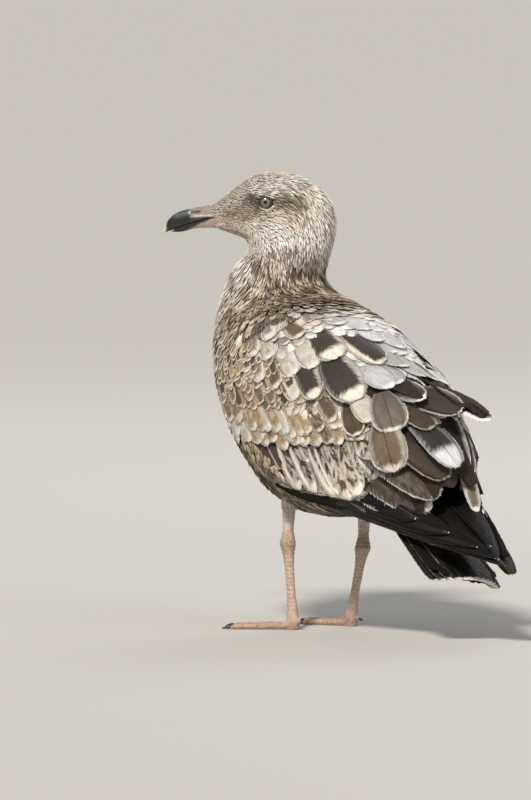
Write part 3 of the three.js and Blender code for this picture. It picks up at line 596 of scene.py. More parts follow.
class Plumage:
    """Feathers that are joined into one piece."""

    def __init__(self, name, unwrap=None):
        self.name = name
        self.unwrap = unwrap
        self.points, self.corners, self.sizes = [], [], []
        self.looks, self.measure, self.uv, self.bake = [], [], [], []
        self.total = 0
        self.cells = 0

    def lay(self, shape, spine, normal, half, looks, sink=0.0, proud=0.0, roll=0.0, hug=None,
            strands=WHOLE, mirror=False, barbs=0):
        """Lays vanes along spines. Sink is how deep each root lies, proud how high each tip, and
        barbs how many loose ones stand out past each side's rim."""
        tangent = np.empty_like(spine)
        tangent[:, 1:-1] = spine[:, 2:] - spine[:, :-2]
        tangent[:, 0] = spine[:, 1] - spine[:, 0]
        tangent[:, -1] = spine[:, -1] - spine[:, -2]
        tangent = unit(tangent)
        side = unit(np.cross(tangent, normal))
        normal = unit(np.cross(side, tangent))
        length = np.linalg.norm(np.diff(spine, axis=1), axis=2).sum(axis=1)
        measure = np.stack([half, length, rng.uniform(0, 60, len(spine))], axis=1)
        sink, proud, roll = (np.broadcast_to(value, len(spine)) for value in (sink, proud, roll))
        for layer, (low, high, reach) in enumerate(strands):
            reach = reach * (1 if strands is WHOLE else rng.uniform(0.93, 1.05))
            grid = self.lay_strand(shape, (spine, normal, side), measure, looks, sink,
                                   proud + 0.15 * layer, roll, hug, (low, high, reach), mirror)
        if barbs:
            self.lay_barbs(shape, grid, (normal, side, tangent), measure, looks, barbs)
        self.cells += len(spine)

    def lay_strand(self, shape, frames, measure, looks, sink, proud, roll, hug, strand, mirror):
        low, high, reach = strand
        stations = np.array(shape["stations"], float)
        widths = np.array(shape["widths"], float)
        along = np.minimum(stations * reach, 1)
        where = np.interp(along, stations, np.arange(len(stations)))
        index = np.minimum(where.astype(int), len(stations) - 2)
        spine, normal, side = (lerp(line[:, index], line[:, index + 1], (where - index)[None, :, None])
                               for line in frames)
        count = len(spine)
        half = measure[:, 0]
        across = np.array(shape["across"], float)
        if (low, high) == (-1, 1):
            offset = widths[:, None] * across
            shade = np.broadcast_to(across, offset.shape)
        else:
            fan = np.interp(along, (0, 0.35, 1), (0.55, 1, 0.85))[:, None]
            offset = fan * (low + high) / 2 + widths[:, None] * across * (high - low) / 2
            shade = offset
        reach_across = half[:, None, None] * offset[None]
        grid = spine[:, :, None, :] + side[:, :, None, :] * reach_across[..., None]
        if shape is BROAD:
            notches = rng.normal(0, NOTCH, (count, *offset.shape))
            notches = notches * smoothstep(0.8, 0.95, along)[None, :, None]
            grid = grid + (spine[:, -1:, None] - spine[:, :1, None]) * notches[..., None]
        if hug is not None:
            grid, _ = hug.snap(grid)
        rise = along[None, :, None]
        lift = -sink[:, None, None] * (1 - rise) + proud[:, None, None] * rise ** 1.4
        own_half = half[:, None, None] * (widths * (high - low) / 2)[None, :, None]
        lift = lift + own_half * (shape["crown"] * (1 - across ** 2) - shape["droop"] * across ** 2)
        lift = lift + roll[:, None, None] * reach_across
        grid = grid + normal[:, :, None, :] * lift[..., None]
        face = grid
        if shape["thickness"]:
            middle = len(across) // 2
            under = grid[:, :, middle] - normal * shape["thickness"]
            grid = np.concatenate([grid, under[:, :, None, :]], axis=2)
            shade = np.concatenate([shade, shade[:, middle:middle + 1]], axis=1)
        u = (shade.reshape(-1) + 1) / 2
        v = np.repeat(along, grid.shape[2])
        uv = np.tile(np.stack([1 - u if mirror else u, v], axis=1), (count, 1, 1))
        self.store(grid, uv, looks, measure, spine[:, 0], self.cells + np.arange(count))
        return face

    def lay_barbs(self, shape, face, frames, measure, looks, number):
        """Loose barbs past the rim of each vane, from its widest part to its tip."""
        stations = np.array(shape["stations"], float)
        shares = (np.arange(number) + 0.5) / number
        places = 0.4 + 0.6 * shares ** 0.6
        where = np.interp(places, stations, np.arange(len(stations)))
        index = np.minimum(where.astype(int), len(stations) - 2)
        count = len(face)
        for edge, way in ((0, -1), (-1, 1)):
            rim, normal, side, tangent = (
                lerp(line[:, index], line[:, index + 1], (where - index)[None, :, None])
                for line in (face[:, :, edge], *frames))
            out = unit(side * way * lerp(0.8, 0.2, shares)[None, :, None] + tangent
                       + rng.normal(0, 0.12, side.shape))
            reach = measure[:, 0][:, None, None] * rng.uniform(*BARB_REACH, (count, number, 1))
            lift = BARB_LIFT * normal[:, :, None]
            spine = np.stack([rim - out * BARB_ROOT, rim + out * reach * 0.4, rim + out * reach], axis=2)
            spine = spine + lift
            taper = np.array((1, 0.85, 0.15))[None, None, :, None]
            width = BARB_HALF * np.cross(out, normal)[:, :, None] * taper
            grid = np.stack([spine - width, spine + lift * taper, spine + width], axis=3)
            grid = grid.reshape(-1, 3, 3, 3)
            uv = np.empty((count, number, 9, 2))
            uv[..., 0] = 0.5 + 0.48 * way
            uv[..., 1] = places[None, :, None]
            pale = np.repeat(looks, number, axis=0)
            pale[:, MARK] = pale[:, GROUND]
            self.store(grid, uv.reshape(-1, 9, 2), pale, np.repeat(measure, number, axis=0),
                       rim.reshape(-1, 3), np.repeat(self.cells + np.arange(count), number))

    def store(self, grid, uv, looks, measure, roots, cells):
        """Keeps closed tubes of points, one for each root, with rings along it.

        A tuft's patch in the baking map lies where its root is on the unwrapped skin. Where there
        is no unwrap, each feather gets a cell of its own.
        """
        count, steps, ring = grid.shape[:3]
        self.points.append(grid.reshape(-1, 3))
        k, j = np.meshgrid(np.arange(steps - 1), np.arange(ring), indexing="ij")
        n = (j + 1) % ring
        quads = np.stack([k * ring + j, k * ring + n, (k + 1) * ring + n, (k + 1) * ring + j], axis=-1)
        caps = [np.arange(ring)[::-1], (steps - 1) * ring + np.arange(ring)]
        pattern = np.concatenate([quads.reshape(-1), *caps])
        starts = self.total + np.arange(count) * steps * ring
        self.corners.append((pattern[None] + starts[:, None]).reshape(-1))
        self.sizes.append(np.tile([4] * (quads.size // 4) + [ring] * 2, count))
        self.total += count * steps * ring

        each = steps * ring
        self.uv.append(uv.reshape(-1, 2))
        self.looks.append(np.repeat(looks, each, axis=0))
        self.measure.append(np.repeat(measure, each, axis=0))
        if self.unwrap:
            place = np.clip(self.unwrap(roots), BAKE_PATCH, 1 - BAKE_PATCH)
            self.bake.append((place[:, None, :] + (uv - 0.5) * BAKE_PATCH).reshape(-1, 2))
        else:
            cell = np.repeat(cells, each)[:, None].astype(float)
            self.bake.append(np.concatenate([cell, uv.reshape(-1, 2)], axis=1))

    def finish(self, material, slot):
        """Joins the feathers into one piece."""
        points = np.concatenate(self.points)
        corners = np.concatenate(self.corners)
        bake = np.concatenate(self.bake)
        if not self.unwrap:
            grid = math.ceil(math.sqrt(self.cells))
            cell = np.stack([bake[:, 0] % grid, bake[:, 0] // grid], axis=1)
            bake = (cell + BAKE_MARGIN + (1 - 2 * BAKE_MARGIN) * bake[:, 1:]) / grid
        mesh = mesh_of(self.name, points, corners, np.concatenate(self.sizes))
        paint_looks(mesh, np.concatenate(self.looks))
        measure = mesh.attributes.new("measure", "FLOAT_VECTOR", "POINT")
        measure.data.foreach_set("vector", np.concatenate(self.measure).astype(np.float32).ravel())
        for name, coordinates in (("OFBake", bake), ("Vane", np.concatenate(self.uv))):
            layer = mesh.uv_layers.new(name=name)
            layer.data.foreach_set("uv", coordinates[corners].astype(np.float32).ravel())
        piece(mesh, material, slot)


def mesh_of(name, points, corners, sizes):
    """A mesh from points in the bird's axes and the corners of its faces."""
    mesh = bpy.data.meshes.new(name)
    mesh.vertices.add(len(points))
    mesh.vertices.foreach_set("co", ((points + SHIFT) * MM).astype(np.float32).ravel())
    mesh.loops.add(len(corners))
    mesh.loops.foreach_set("vertex_index", corners.astype(np.int32))
    mesh.polygons.add(len(sizes))
    starts = np.concatenate([[0], np.cumsum(sizes)[:-1]])
    mesh.polygons.foreach_set("loop_start", starts.astype(np.int32))
    mesh.polygons.foreach_set("use_smooth", np.ones(len(sizes), bool))
    mesh.update(calc_edges=True)
    return mesh


def quad_mesh(name, points, quads):
    return mesh_of(name, points, quads.ravel(), np.full(len(quads), 4))


def paint(mesh, name, colours):
    """Stores a colour, or up to four numbers, at every point."""
    full = np.ones((len(colours), 4), np.float32)
    full[:, :colours.shape[1]] = colours
    mesh.attributes.new(name, "FLOAT_COLOR", "POINT").data.foreach_set("color", full.ravel())


def paint_looks(mesh, looks):
    """Stores the looks where the feather material reads them."""
    paint(mesh, "mark", np.column_stack([looks[:, MARK], looks[:, TIP_FRINGE]]))
    paint(mesh, "ground", np.column_stack([looks[:, GROUND], looks[:, LEAN]]))
    paint(mesh, "marks", looks[:, [SIDE_FRINGE, RAGGED, BARS, SHAFT]])


def piece(mesh, material, slot, *nodes):
    """A finished piece that rides on the body and stands for CAD nodes."""
    made = bpy.data.objects.new(mesh.name, mesh)
    bpy.context.scene.collection.objects.link(made)
    mesh.materials.append(material)
    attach(made, "root")
    if nodes:
        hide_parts(*nodes)


# ---------------- materials

def add_node(tree, kind, inputs=None, output=0, **settings):
    """Adds a node with its settings and its inputs' values or links, and gives one output.

    The output node has none, and is given itself.
    """
    added = tree.nodes.new("ShaderNode" + kind)
    for name, value in settings.items():
        setattr(added, name, value)
    for name, value in (inputs or {}).items():
        if isinstance(value, bpy.types.NodeSocket):
            tree.links.new(value, added.inputs[name])
        else:
            added.inputs[name].default_value = value
    return added.outputs[output] if added.outputs else added


def new_material(name):
    material = bpy.data.materials.new(name)
    material.use_nodes = True
    material.node_tree.nodes.clear()
    return material, material.node_tree


def feather_material(name, barb, roughness, sheen, depth):
    """Keratin barbs combed into a vane: fine streaks that run outwards and towards the tip, a
    paler fringe worn ragged, a dark shaft, and a soft sheen.

    Real barbs are a third of a millimetre apart, too fine to show, so they are drawn as coarse as
    barb. Depth is how far they stand up. Both are in millimetres, and so are the patterns below.
    """
    bar_length, bar_width = 6.0, 4.5
    cloud_length, cloud_width = 11.0, 5.0
    shaft_half, shaft_edge = 0.25, 0.55
    material, tree = new_material(name)
    mark = add_node(tree, "Attribute", attribute_name="mark")
    tip_fringe = mark.node.outputs["Alpha"]
    ground = add_node(tree, "Attribute", attribute_name="ground")
    lean = ground.node.outputs["Alpha"]
    marks = add_node(tree, "Attribute", attribute_name="marks")
    shaft = marks.node.outputs["Alpha"]
    side_fringe, ragged, bars = add_node(tree, "SeparateColor", {0: marks}).node.outputs
    measure = add_node(tree, "Attribute", output="Vector", attribute_name="measure")
    half, length, seed = add_node(tree, "SeparateXYZ", {0: measure}).node.outputs
    uv = add_node(tree, "UVMap", uv_map="Vane")
    u, v, _ = add_node(tree, "SeparateXYZ", {0: uv}).node.outputs

    # Millimetres sideways from the shaft, along it, and inwards from the fringe.
    across = add_node(tree, "Math", {0: u, 1: 2.0, 2: -1.0}, operation="MULTIPLY_ADD")
    sideways = add_node(tree, "Math", {0: across, 1: half}, operation="MULTIPLY")
    off_shaft = add_node(tree, "Math", {0: sideways}, operation="ABSOLUTE")
    along = add_node(tree, "Math", {0: v, 1: length}, operation="MULTIPLY")
    leant = add_node(tree, "Math", {0: across, 1: lean}, operation="SUBTRACT")
    off_middle = add_node(tree, "Math", {0: leant}, operation="ABSOLUTE")
    to_side = add_node(tree, "Math", {0: 1.0, 1: off_middle}, operation="SUBTRACT")
    to_rim = add_node(tree, "Math", {0: to_side, 1: half}, operation="MULTIPLY")
    side_depth = add_node(tree, "Math", {0: to_rim, 1: side_fringe}, operation="SUBTRACT")
    to_tip = add_node(tree, "Math", {0: length, 1: along}, operation="SUBTRACT")
    tip_depth = add_node(tree, "Math", {0: to_tip, 1: tip_fringe}, operation="SUBTRACT")
    depth_inside = add_node(tree, "Math", {0: side_depth, 1: tip_depth, 2: 1.5}, operation="SMOOTH_MIN")

    # The barbs, slanted at 45 degrees, and the ragged line where the mark gives way to the fringe.
    barb_line = add_node(tree, "Math", {0: along, 1: off_shaft}, operation="SUBTRACT")
    barb_step = add_node(tree, "Math", {0: barb_line, 1: barb}, operation="DIVIDE")
    barb_side = add_node(tree, "Math", {0: sideways, 1: barb * 8}, operation="DIVIDE")
    barb_place = add_node(tree, "CombineXYZ", {0: barb_step, 1: barb_side, 2: seed})
    barbs = add_node(tree, "TexNoise", {"Vector": barb_place, "Scale": 1.0, "Detail": 2.0})
    uneven = add_node(tree, "Math", {0: barbs, 1: 0.5}, operation="SUBTRACT")
    reach = add_node(tree, "Math", {0: ragged, 1: 3.2}, operation="MULTIPLY")
    wear_and_highlight = add_node(tree, "Math", {0: uneven, 1: reach, 2: depth_inside}, operation="MULTIPLY_ADD")
    frayed = add_node(tree, "Math", {0: ragged, 1: 0.6, 2: 0.2}, operation="MULTIPLY_ADD")
    soft = add_node(tree, "Math", {0: tip_fringe, 1: 0.1, 2: frayed}, operation="MULTIPLY_ADD")
    outer = add_node(tree, "Math", {0: soft, 1: -1.0}, operation="MULTIPLY")
    inside = add_node(tree, "MapRange", {"Value": wear_and_highlight, "From Min": outer, "From Max": soft},
                      interpolation_type="SMOOTHSTEP")

    # Pale bars across the mark, on the feathers that have them.
    bar_step = add_node(tree, "Math", {0: barb_line, 1: bar_length}, operation="DIVIDE")
    bar_side = add_node(tree, "Math", {0: sideways, 1: bar_width}, operation="DIVIDE")
    bar_place = add_node(tree, "CombineXYZ", {0: bar_step, 1: bar_side, 2: seed})
    marbling = add_node(tree, "TexNoise", {"Vector": bar_place, "Scale": 1.0, "Detail": 1.5})
    barred = add_node(tree, "MapRange", {"Value": marbling, "From Min": 0.44, "From Max": 0.56})
    pale_bars = add_node(tree, "Math", {0: barred, 1: bars}, operation="MULTIPLY")
    plain = add_node(tree, "Math", {0: 1.0, 1: pale_bars}, operation="SUBTRACT")
    tone = add_node(tree, "Math", {0: inside, 1: plain}, operation="MULTIPLY")
    vane = add_node(tree, "Mix", {0: tone, 6: ground, 7: mark}, output=2, data_type="RGBA")

    # The light and dark of single barbs, of wear and of the shaft, and painted shade at each feather's
    # covered root.
    streak = add_node(tree, "MapRange", {"Value": barbs, "From Min": 0.3, "From Max": 0.7,
                                         "To Min": 0.84, "To Max": 1.13})
    # Painted shade: each feather darkens towards its root, where the feathers over it cover it.
    painted_root_shade = add_node(tree, "MapRange", {"Value": v, "From Min": 0.0, "From Max": 0.55,
                                        "To Min": 0.68, "To Max": 1.0})
    cloud_step = add_node(tree, "Math", {0: along, 1: cloud_length}, operation="DIVIDE")
    cloud_side = add_node(tree, "Math", {0: sideways, 1: cloud_width}, operation="DIVIDE")
    cloud_place = add_node(tree, "CombineXYZ", {0: cloud_step, 1: cloud_side, 2: seed})
    cloud = add_node(tree, "TexNoise", {"Vector": cloud_place, "Scale": 1.0, "Detail": 2.0})
    clouded = add_node(tree, "MapRange", {"Value": cloud, "From Min": 0.3, "From Max": 0.65,
                                          "To Min": 0.8, "To Max": 1.06})
    line = add_node(tree, "MapRange", {"Value": off_shaft, "From Min": shaft_half,
                                       "From Max": shaft_edge, "To Min": -0.8, "To Max": 0.0})
    shaded = add_node(tree, "Math", {0: line, 1: shaft, 2: 1.0}, operation="MULTIPLY_ADD")
    combed = add_node(tree, "Math", {0: streak, 1: painted_root_shade}, operation="MULTIPLY")
    lined = add_node(tree, "Math", {0: combed, 1: shaded}, operation="MULTIPLY")
    light = add_node(tree, "Math", {0: lined, 1: clouded}, operation="MULTIPLY")
    colour = add_node(tree, "VectorMath", {0: vane, "Scale": light}, operation="SCALE")
    bump = add_node(tree, "Bump", {"Height": barbs, "Strength": 0.6, "Distance": depth * MM})
    shader = add_node(tree, "BsdfPrincipled", {
        "Base Color": colour, "Roughness": roughness, "IOR": 1.45, "Specular IOR Level": 0.3,
        "Sheen Weight": sheen, "Sheen Roughness": 0.5, "Normal": bump})
    add_node(tree, "OutputMaterial", {"Surface": shader})
    return material


def skin_material():
    """Bare skin: waxy and scaly on the shanks and webs, plain and dull under the feathers."""
    scale_width, mottle_width = 1.5, 2.6  # millimetres across one scale and one blotch
    material, tree = new_material("scaly leg and body skin")
    place = add_node(tree, "TexCoord", output="Object")
    colour = add_node(tree, "Attribute", output="Color", attribute_name="skin")
    bare = add_node(tree, "Attribute", output="Alpha", attribute_name="skin")
    scales = add_node(tree, "TexVoronoi", {"Vector": place, "Scale": 1 / (scale_width * MM)},
                      feature="DISTANCE_TO_EDGE")
    groove = add_node(tree, "MapRange", {"Value": scales, "From Min": 0.0, "From Max": 0.12,
                                         "To Min": 0.72, "To Max": 1.0})
    mottle = add_node(tree, "TexNoise", {"Vector": place, "Scale": 1 / (mottle_width * MM), "Detail": 3.0})
    blotch = add_node(tree, "MapRange", {"Value": mottle, "From Min": 0.35, "From Max": 0.65,
                                         "To Min": 0.8, "To Max": 1.15})
    light = add_node(tree, "Math", {0: groove, 1: blotch}, operation="MULTIPLY")
    light = add_node(tree, "Mix", {0: bare, 2: 1.0, 3: light}, data_type="FLOAT")
    tinted = add_node(tree, "VectorMath", {0: colour, "Scale": light}, operation="SCALE")
    height = add_node(tree, "Math", {0: groove, 1: bare}, operation="MULTIPLY")
    bump = add_node(tree, "Bump", {"Height": height, "Strength": 0.7, "Distance": 0.3 * MM})
    shader = add_node(tree, "BsdfPrincipled", {
        "Base Color": tinted, "Roughness": 0.5, "IOR": 1.42, "Specular IOR Level": 0.4,
        "Normal": bump})
    add_node(tree, "OutputMaterial", {"Surface": shader})
    return material


def horn_material(name, roughness):
    """Keratin horn: smooth and satin, faintly cloudy and uneven where it has grown and worn."""
    cloud_width = 3.0  # millimetres across one cloud
    material, tree = new_material(name)
    place = add_node(tree, "TexCoord", output="Object")
    colour = add_node(tree, "Attribute", output="Color", attribute_name="horn")
    growth = add_node(tree, "TexNoise", {"Vector": place, "Scale": 1 / (cloud_width * MM), "Detail": 5.0})
    light = add_node(tree, "MapRange", {"Value": growth, "From Min": 0.3, "From Max": 0.7,
                                        "To Min": 0.8, "To Max": 1.2})
    tinted = add_node(tree, "VectorMath", {0: colour, "Scale": light}, operation="SCALE")
    bump = add_node(tree, "Bump", {"Height": growth, "Strength": 0.35, "Distance": 0.15 * MM})
    shader = add_node(tree, "BsdfPrincipled", {
        "Base Color": tinted, "Roughness": roughness, "IOR": 1.54, "Normal": bump})
    add_node(tree, "OutputMaterial", {"Surface": shader})
    return material


def eye_material():
    """A wet eye: a clear glossy coat over the iris and pupil, which are painted on the ball."""
    material, tree = new_material("wet cornea over a grey iris")
    colour = add_node(tree, "Attribute", output="Color", attribute_name="iris")
    shader = add_node(tree, "BsdfPrincipled", {
        "Base Color": colour, "Roughness": 0.25, "IOR": 1.38, "Coat Weight": 1.0,
        "Coat Roughness": 0.03})
    add_node(tree, "OutputMaterial", {"Surface": shader})
    return material


# ---------------- skin

FACE_COAT, NECK_COAT, BODY_COAT = 0.55, 1.9, 3.2  # depths in millimetres
ROOT_DEPTH = 0.9  # where small feathers' roots lie, as a share of the coat's depth
UNDER_ROOTS = 0.6  # how far the skin lies under the coat
GAPE_DEPTH = 0.3


def coat_depth(points):
    """How thick the coat is: thin on the face, deep on the body."""
    ahead, _, _ = head_place(points)
    head = smoothstep(280, 306, points[:, 2])
    face = lerp(NECK_COAT, FACE_COAT, smoothstep(-30, 34, ahead))
    return lerp(BODY_COAT, face, head)


def torso_skin():
    """The head, neck and trunk drawn in by the coat's depth, hollow where the eyes sit."""
    socket_depth, socket_rim, socket_floor = 3.0, 5.6, 3.6
    points, quads = remeshed([*FLESH, *EYES], voxel=2.0, grow=0.6)
    points = relaxed(points, quads, 8)
    points = fluffed(relaxed(points, quads, 60, nape_crease(points)), quads)
    normals = surface_normals(points, quads)
    depth = coat_depth(points) + UNDER_ROOTS
    for sign in SIDES.values():
        axis = eye_axis(sign)
        off = points - eye_centre(sign)
        high = off @ axis
        wide = np.linalg.norm(off - high[:, None] * axis, axis=1)
        depth += np.where(high > 0, socket_depth * smoothstep(socket_rim, socket_floor, wide), 0)
    looks = looks_at(points)
    dark = np.clip(looks[:, SHARE], 0, 1)[:, None]
    tint = 0.8 * lerp(looks[:, GROUND], looks[:, MARK], dark)
    gape = in_gape(points, margin=1.0)
    depth = np.where(gape, GAPE_DEPTH, depth)
    tint = np.where(gape[:, None], linear("#b8a397"), tint)
    return points - normals * depth[:, None], quads, np.column_stack([tint, np.zeros(len(points))])


def leg_skin(legs):
    """The bare legs, ringed with low scutes, with the tops of the shins run up into the feathers."""
    scute_height, scute_spacing = 0.16, 3.1
    between_legs, run_up = 13, 12
    points, quads = remeshed(legs, voxel=0.65, grow=0.3)
    points = relaxed(points, quads, 4)
    points -= surface_normals(points, quads) * 0.15
    shown = points.copy()
    up = shown[:, 2]
    for sign in SIDES.values():
        own = (points[:, 0] - between_legs) * sign > 0
        top = points[own, 2].max()
        points[:, 2] += np.where(own, run_up * smoothstep(top - 7, top - 1, points[:, 2]), 0)
    scutes = np.sin(up * FULL_TURN / scute_spacing) * smoothstep(12, 16, up) * smoothstep(80, 74, up)
    points += surface_normals(shown, quads) * (scute_height * scutes)[:, None]
    points[:, 2] = np.maximum(points[:, 2], 0)
    return points, quads, leg_colours(shown)


def skin_piece():
    """One skin over the flesh and the bare legs and feet."""
    legs = [f"{part}_{side}" for side in SIDES for part in ("tibia", "tarsus", "foot")]
    torso_points, torso_quads, torso_tint = torso_skin()
    leg_points, leg_quads, leg_tint = leg_skin(legs)
    points = np.concatenate([torso_points, leg_points])
    quads = np.concatenate([torso_quads, leg_quads + len(torso_points)])
    mesh = quad_mesh("skin", points, quads)
    paint(mesh, "skin", np.concatenate([torso_tint, leg_tint]))
    piece(mesh, skin_material(), "leg_skin", *FLESH, *legs)


def leg_colours(points):
    """Flesh pink shanks, browner joints, pale shins and dusky webs, with brown speckles."""
    codes = ("#cdb3a3", "#a8947f", "#d8cfc1", "#b79a8b")
    shank, joint, shin, web = (linear(code) for code in codes)
    up = points[:, 2]
    tint = np.tile(shank, (len(points), 1))
    tint = lerp(tint, joint, 0.75 * np.exp(-((up - 66) / 9) ** 2)[:, None])
    tint = lerp(tint, shin, smoothstep(72, 84, up)[:, None])
    tint = lerp(tint, web, smoothstep(9, 3, up)[:, None])
    speckle = clumps(points, 1.3, 4.4)
    tint = lerp(tint, linear("#8f6a56"), 0.4 * smoothstep(0.35, 0.8, speckle)[:, None])
    return np.column_stack([tint, np.ones(len(points))])


# ---------------- scattered feathers

def scattered(surface, wanted, spacing, tries):
    """Random places on the surface, no two nearer than the spacing at the place."""
    quads = surface.quads
    corners = surface.points[quads]
    area = np.linalg.norm(np.cross(corners[:, 2] - corners[:, 0], corners[:, 3] - corners[:, 1]), axis=1)
    area = area * wanted(corners.mean(axis=1))
    chosen = rng.choice(len(quads), size=tries, p=area / area.sum())
    s, t = rng.uniform(size=(2, tries, 1))
    corners = corners[chosen]
    places = lerp(lerp(corners[:, 0], corners[:, 1], s), lerp(corners[:, 3], corners[:, 2], s), t)
    gaps = spacing(places)
    cell = float(gaps.max())
    kept, grid = [], {}
    for k, (place, gap) in enumerate(zip(places, gaps)):
        x, y, z = (int(math.floor(value / cell)) for value in place)
        near = (other for i in (-1, 0, 1) for j in (-1, 0, 1) for m in (-1, 0, 1)
                for other in grid.get((x + i, y + j, z + m), ()))
        if all((place[0] - o[0]) ** 2 + (place[1] - o[1]) ** 2 + (place[2] - o[2]) ** 2 > gap * gap
               for o in near):
            grid.setdefault((x, y, z), []).append(place)
            kept.append(k)
    return places[kept]


def combed(plumage, shape, roots, length, half, looks, sink, proud, stray=6.0, down=0.0, **options):
    """Lays feathers from their roots along the lie of the coat."""
    turn = np.radians(rng.normal(0, stray, len(roots)) + down)[:, None]
    places, normals = coat.snap(roots)
    track = [places]
    facing = [normals]
    for share in np.diff(shape["stations"]):
        way = lie_of_coat(track[-1])
        way = unit(way - facing[-1] * np.sum(way * facing[-1], axis=1, keepdims=True))
        sideways = np.cross(way, facing[-1]) * np.where(track[-1][:, :1] >= 0, 1, -1)
        way = way * np.cos(turn) + sideways * np.sin(turn)
        ahead = track[-1] + way * (length * share)[:, None]
        places, normals = coat.snap(ahead)
        track.append(places)
        facing.append(normals)
    spine = np.stack(track, axis=1)
    normal = np.stack(facing, axis=1)
    plumage.lay(shape, spine, normal, half, looks, sink, proud, **options)


def in_gape(points, margin=0.0):
    """The bare wedge of skin behind the corner of the bill."""
    ahead, side, above = head_place(points)
    back = 30.5 - margin
    top = -13.2 + 0.16 * (ahead - back) + margin
    bottom = -14.0 - 0.33 * (ahead - back) - margin
    return (ahead > back) & (above < top) & (above > bottom) & (np.abs(side) > 3)


def head_unwrap(points):
    """Places on the baking map: from the nape to the face, and round the head."""
    ahead, side, above = head_place(points)
    around = np.arctan2(side, above + 12) / FULL_TURN + 0.5
    return np.stack([(ahead + 54) / 100, around], axis=1)


def body_unwrap(points):
    """Places on the baking map: along the body line, and round it."""
    rows, turns = row_and_turn(points)
    return np.stack([rows / LAST_ROW, turns / 360 + 0.5], axis=1)


def on_head(points):
    """Which points are feathered head: behind the bill's base and outside the gape."""
    ahead, _, above = head_place(points)
    front = np.interp(above, (-24, -16, -9, -4, 0), (39, 43, 43.5, 47, 48.5))
    return (points[:, 2] > 288) & (ahead < front) & ~in_gape(points)


def near_eye(points, reach):
    """Which points lie on the bare ring round an eye, which is a little longer than high."""
    result = np.zeros(len(points), bool)
    for sign in SIDES.values():
        off = points - eye_centre(sign) - eye_axis(sign) * 6.4
        ahead = off @ HEAD_AHEAD
        above = off[:, 2]
        result |= (np.hypot(ahead / 1.06, above / 0.94) < reach) & (np.linalg.norm(off, axis=1) < 12)
    return result


def head_feathers():
    """Short tufts on the face, which grow longer down the nape."""
    plumage = Plumage("head_feathers", head_unwrap)

    def spacing(points):
        ahead, _, _ = head_place(points)
        return lerp(1.75, 1.08, smoothstep(-34, 14, ahead))

    roots = scattered(coat, on_head, spacing, tries=90000)
    roots = roots[~near_eye(roots, 5.6)]
    ahead, _, above = head_place(roots)
    face = smoothstep(-26, 18, ahead)
    length = lerp(8.8, 3.2, face) * rng.uniform(0.85, 1.2, len(roots))
    length = length * lerp(0.6, 1, smoothstep(6, 12, np.hypot(ahead + 2, above)))
    half = lerp(0.95, 0.55, face) * rng.uniform(0.85, 1.15, len(roots))
    looks = streaked(roots, looks_at(roots), 4.6, 0.15)
    nape = smoothstep(-34, -46, ahead)
    proud = 0.1 + 1.2 * nape + rng.uniform(0, 0.25, len(roots))
    combed(plumage, TUFT, roots, length, half, looks, coat_depth(roots) * ROOT_DEPTH, proud, stray=7)
    return plumage


def neck_feathers():
    """Longer tufts round the neck, in blotches of dark and pale."""
    plumage = Plumage("neck_feathers", body_unwrap)

    def wanted(points):
        rows, turns = row_and_turn(points)
        return (points[:, 2] <= 290) & (rows > 1.4) & (rows < 5.3 - 0.35 * np.cos(np.radians(turns)))

    roots = scattered(coat, wanted, lambda places: np.full(len(places), 1.9), tries=50000)
    length = 12 * rng.uniform(0.8, 1.2, len(roots))
    half = 1.15 * rng.uniform(0.8, 1.2, len(roots))
    looks = streaked(roots, looks_at(roots), 9.5, 0.07, edge=0.85)
    proud = rng.uniform(0.1, 0.9, len(roots))
    combed(plumage, TUFT, roots, length, half, looks, coat_depth(roots) * ROOT_DEPTH, proud, stray=8)
    return plumage


# The wing's outline on the body: rows, and the turns of its upper and lower edges.
WING_ROWS = (5.5, 6.1, 6.8, 7.25, 7.7, 8.35, 9.3, 9.95, 10.8, 11.3, 12.8)
WING_UPPER = (84, 82, 77, 76, 75, 72, 64, 58, 45, 30, 30)
WING_LOWER = (90, 98, 100, 105, 111, 116, 120, 122, 120, 112, 80)


def in_wing(rows, turns, margin=0.0):
    """Which places lie on the folded wing."""
    turns = np.abs(turns)
    upper = np.interp(rows, WING_ROWS, WING_UPPER) + margin
    lower = np.interp(rows, WING_ROWS, WING_LOWER) - margin
    return (rows > 5.8) & (rows < 12.8) & (turns > upper) & (turns < lower)


def body_feathers():
    """Breast, belly, flanks and vent: soft feathers that overlap like loose tiles."""
    plumage = Plumage("body_feathers", body_unwrap)

    def wanted(points):
        rows, turns = row_and_turn(points)
        below = np.abs(turns) > np.interp(rows, (4, 5.5, 7, 11, 12.4, 15), (50, 80, 90, 100, 90, 90))
        return (rows > 4.4) & (rows < 14.6) & below & ~in_wing(rows, turns, 5) & (points[:, 2] < 285)

    roots = scattered(coat, wanted, lambda places: np.full(len(places), 4.0), tries=30000)
    rows, turns = row_and_turn(roots)
    low = smoothstep(6, 11, rows)
    length = lerp(13, 22, low) * rng.uniform(0.85, 1.15, len(roots))
    half = lerp(2.7, 3.8, low) * rng.uniform(0.85, 1.15, len(roots))
    looks = streaked(roots, looks_at(roots), 8, wild=0.3)
    proud = rng.uniform(0.2, 0.9, len(roots))
    combed(plumage, STRAND, roots, length, half, looks, coat_depth(roots) * ROOT_DEPTH, proud,
           stray=9, strands=LOOSE)
    return plumage


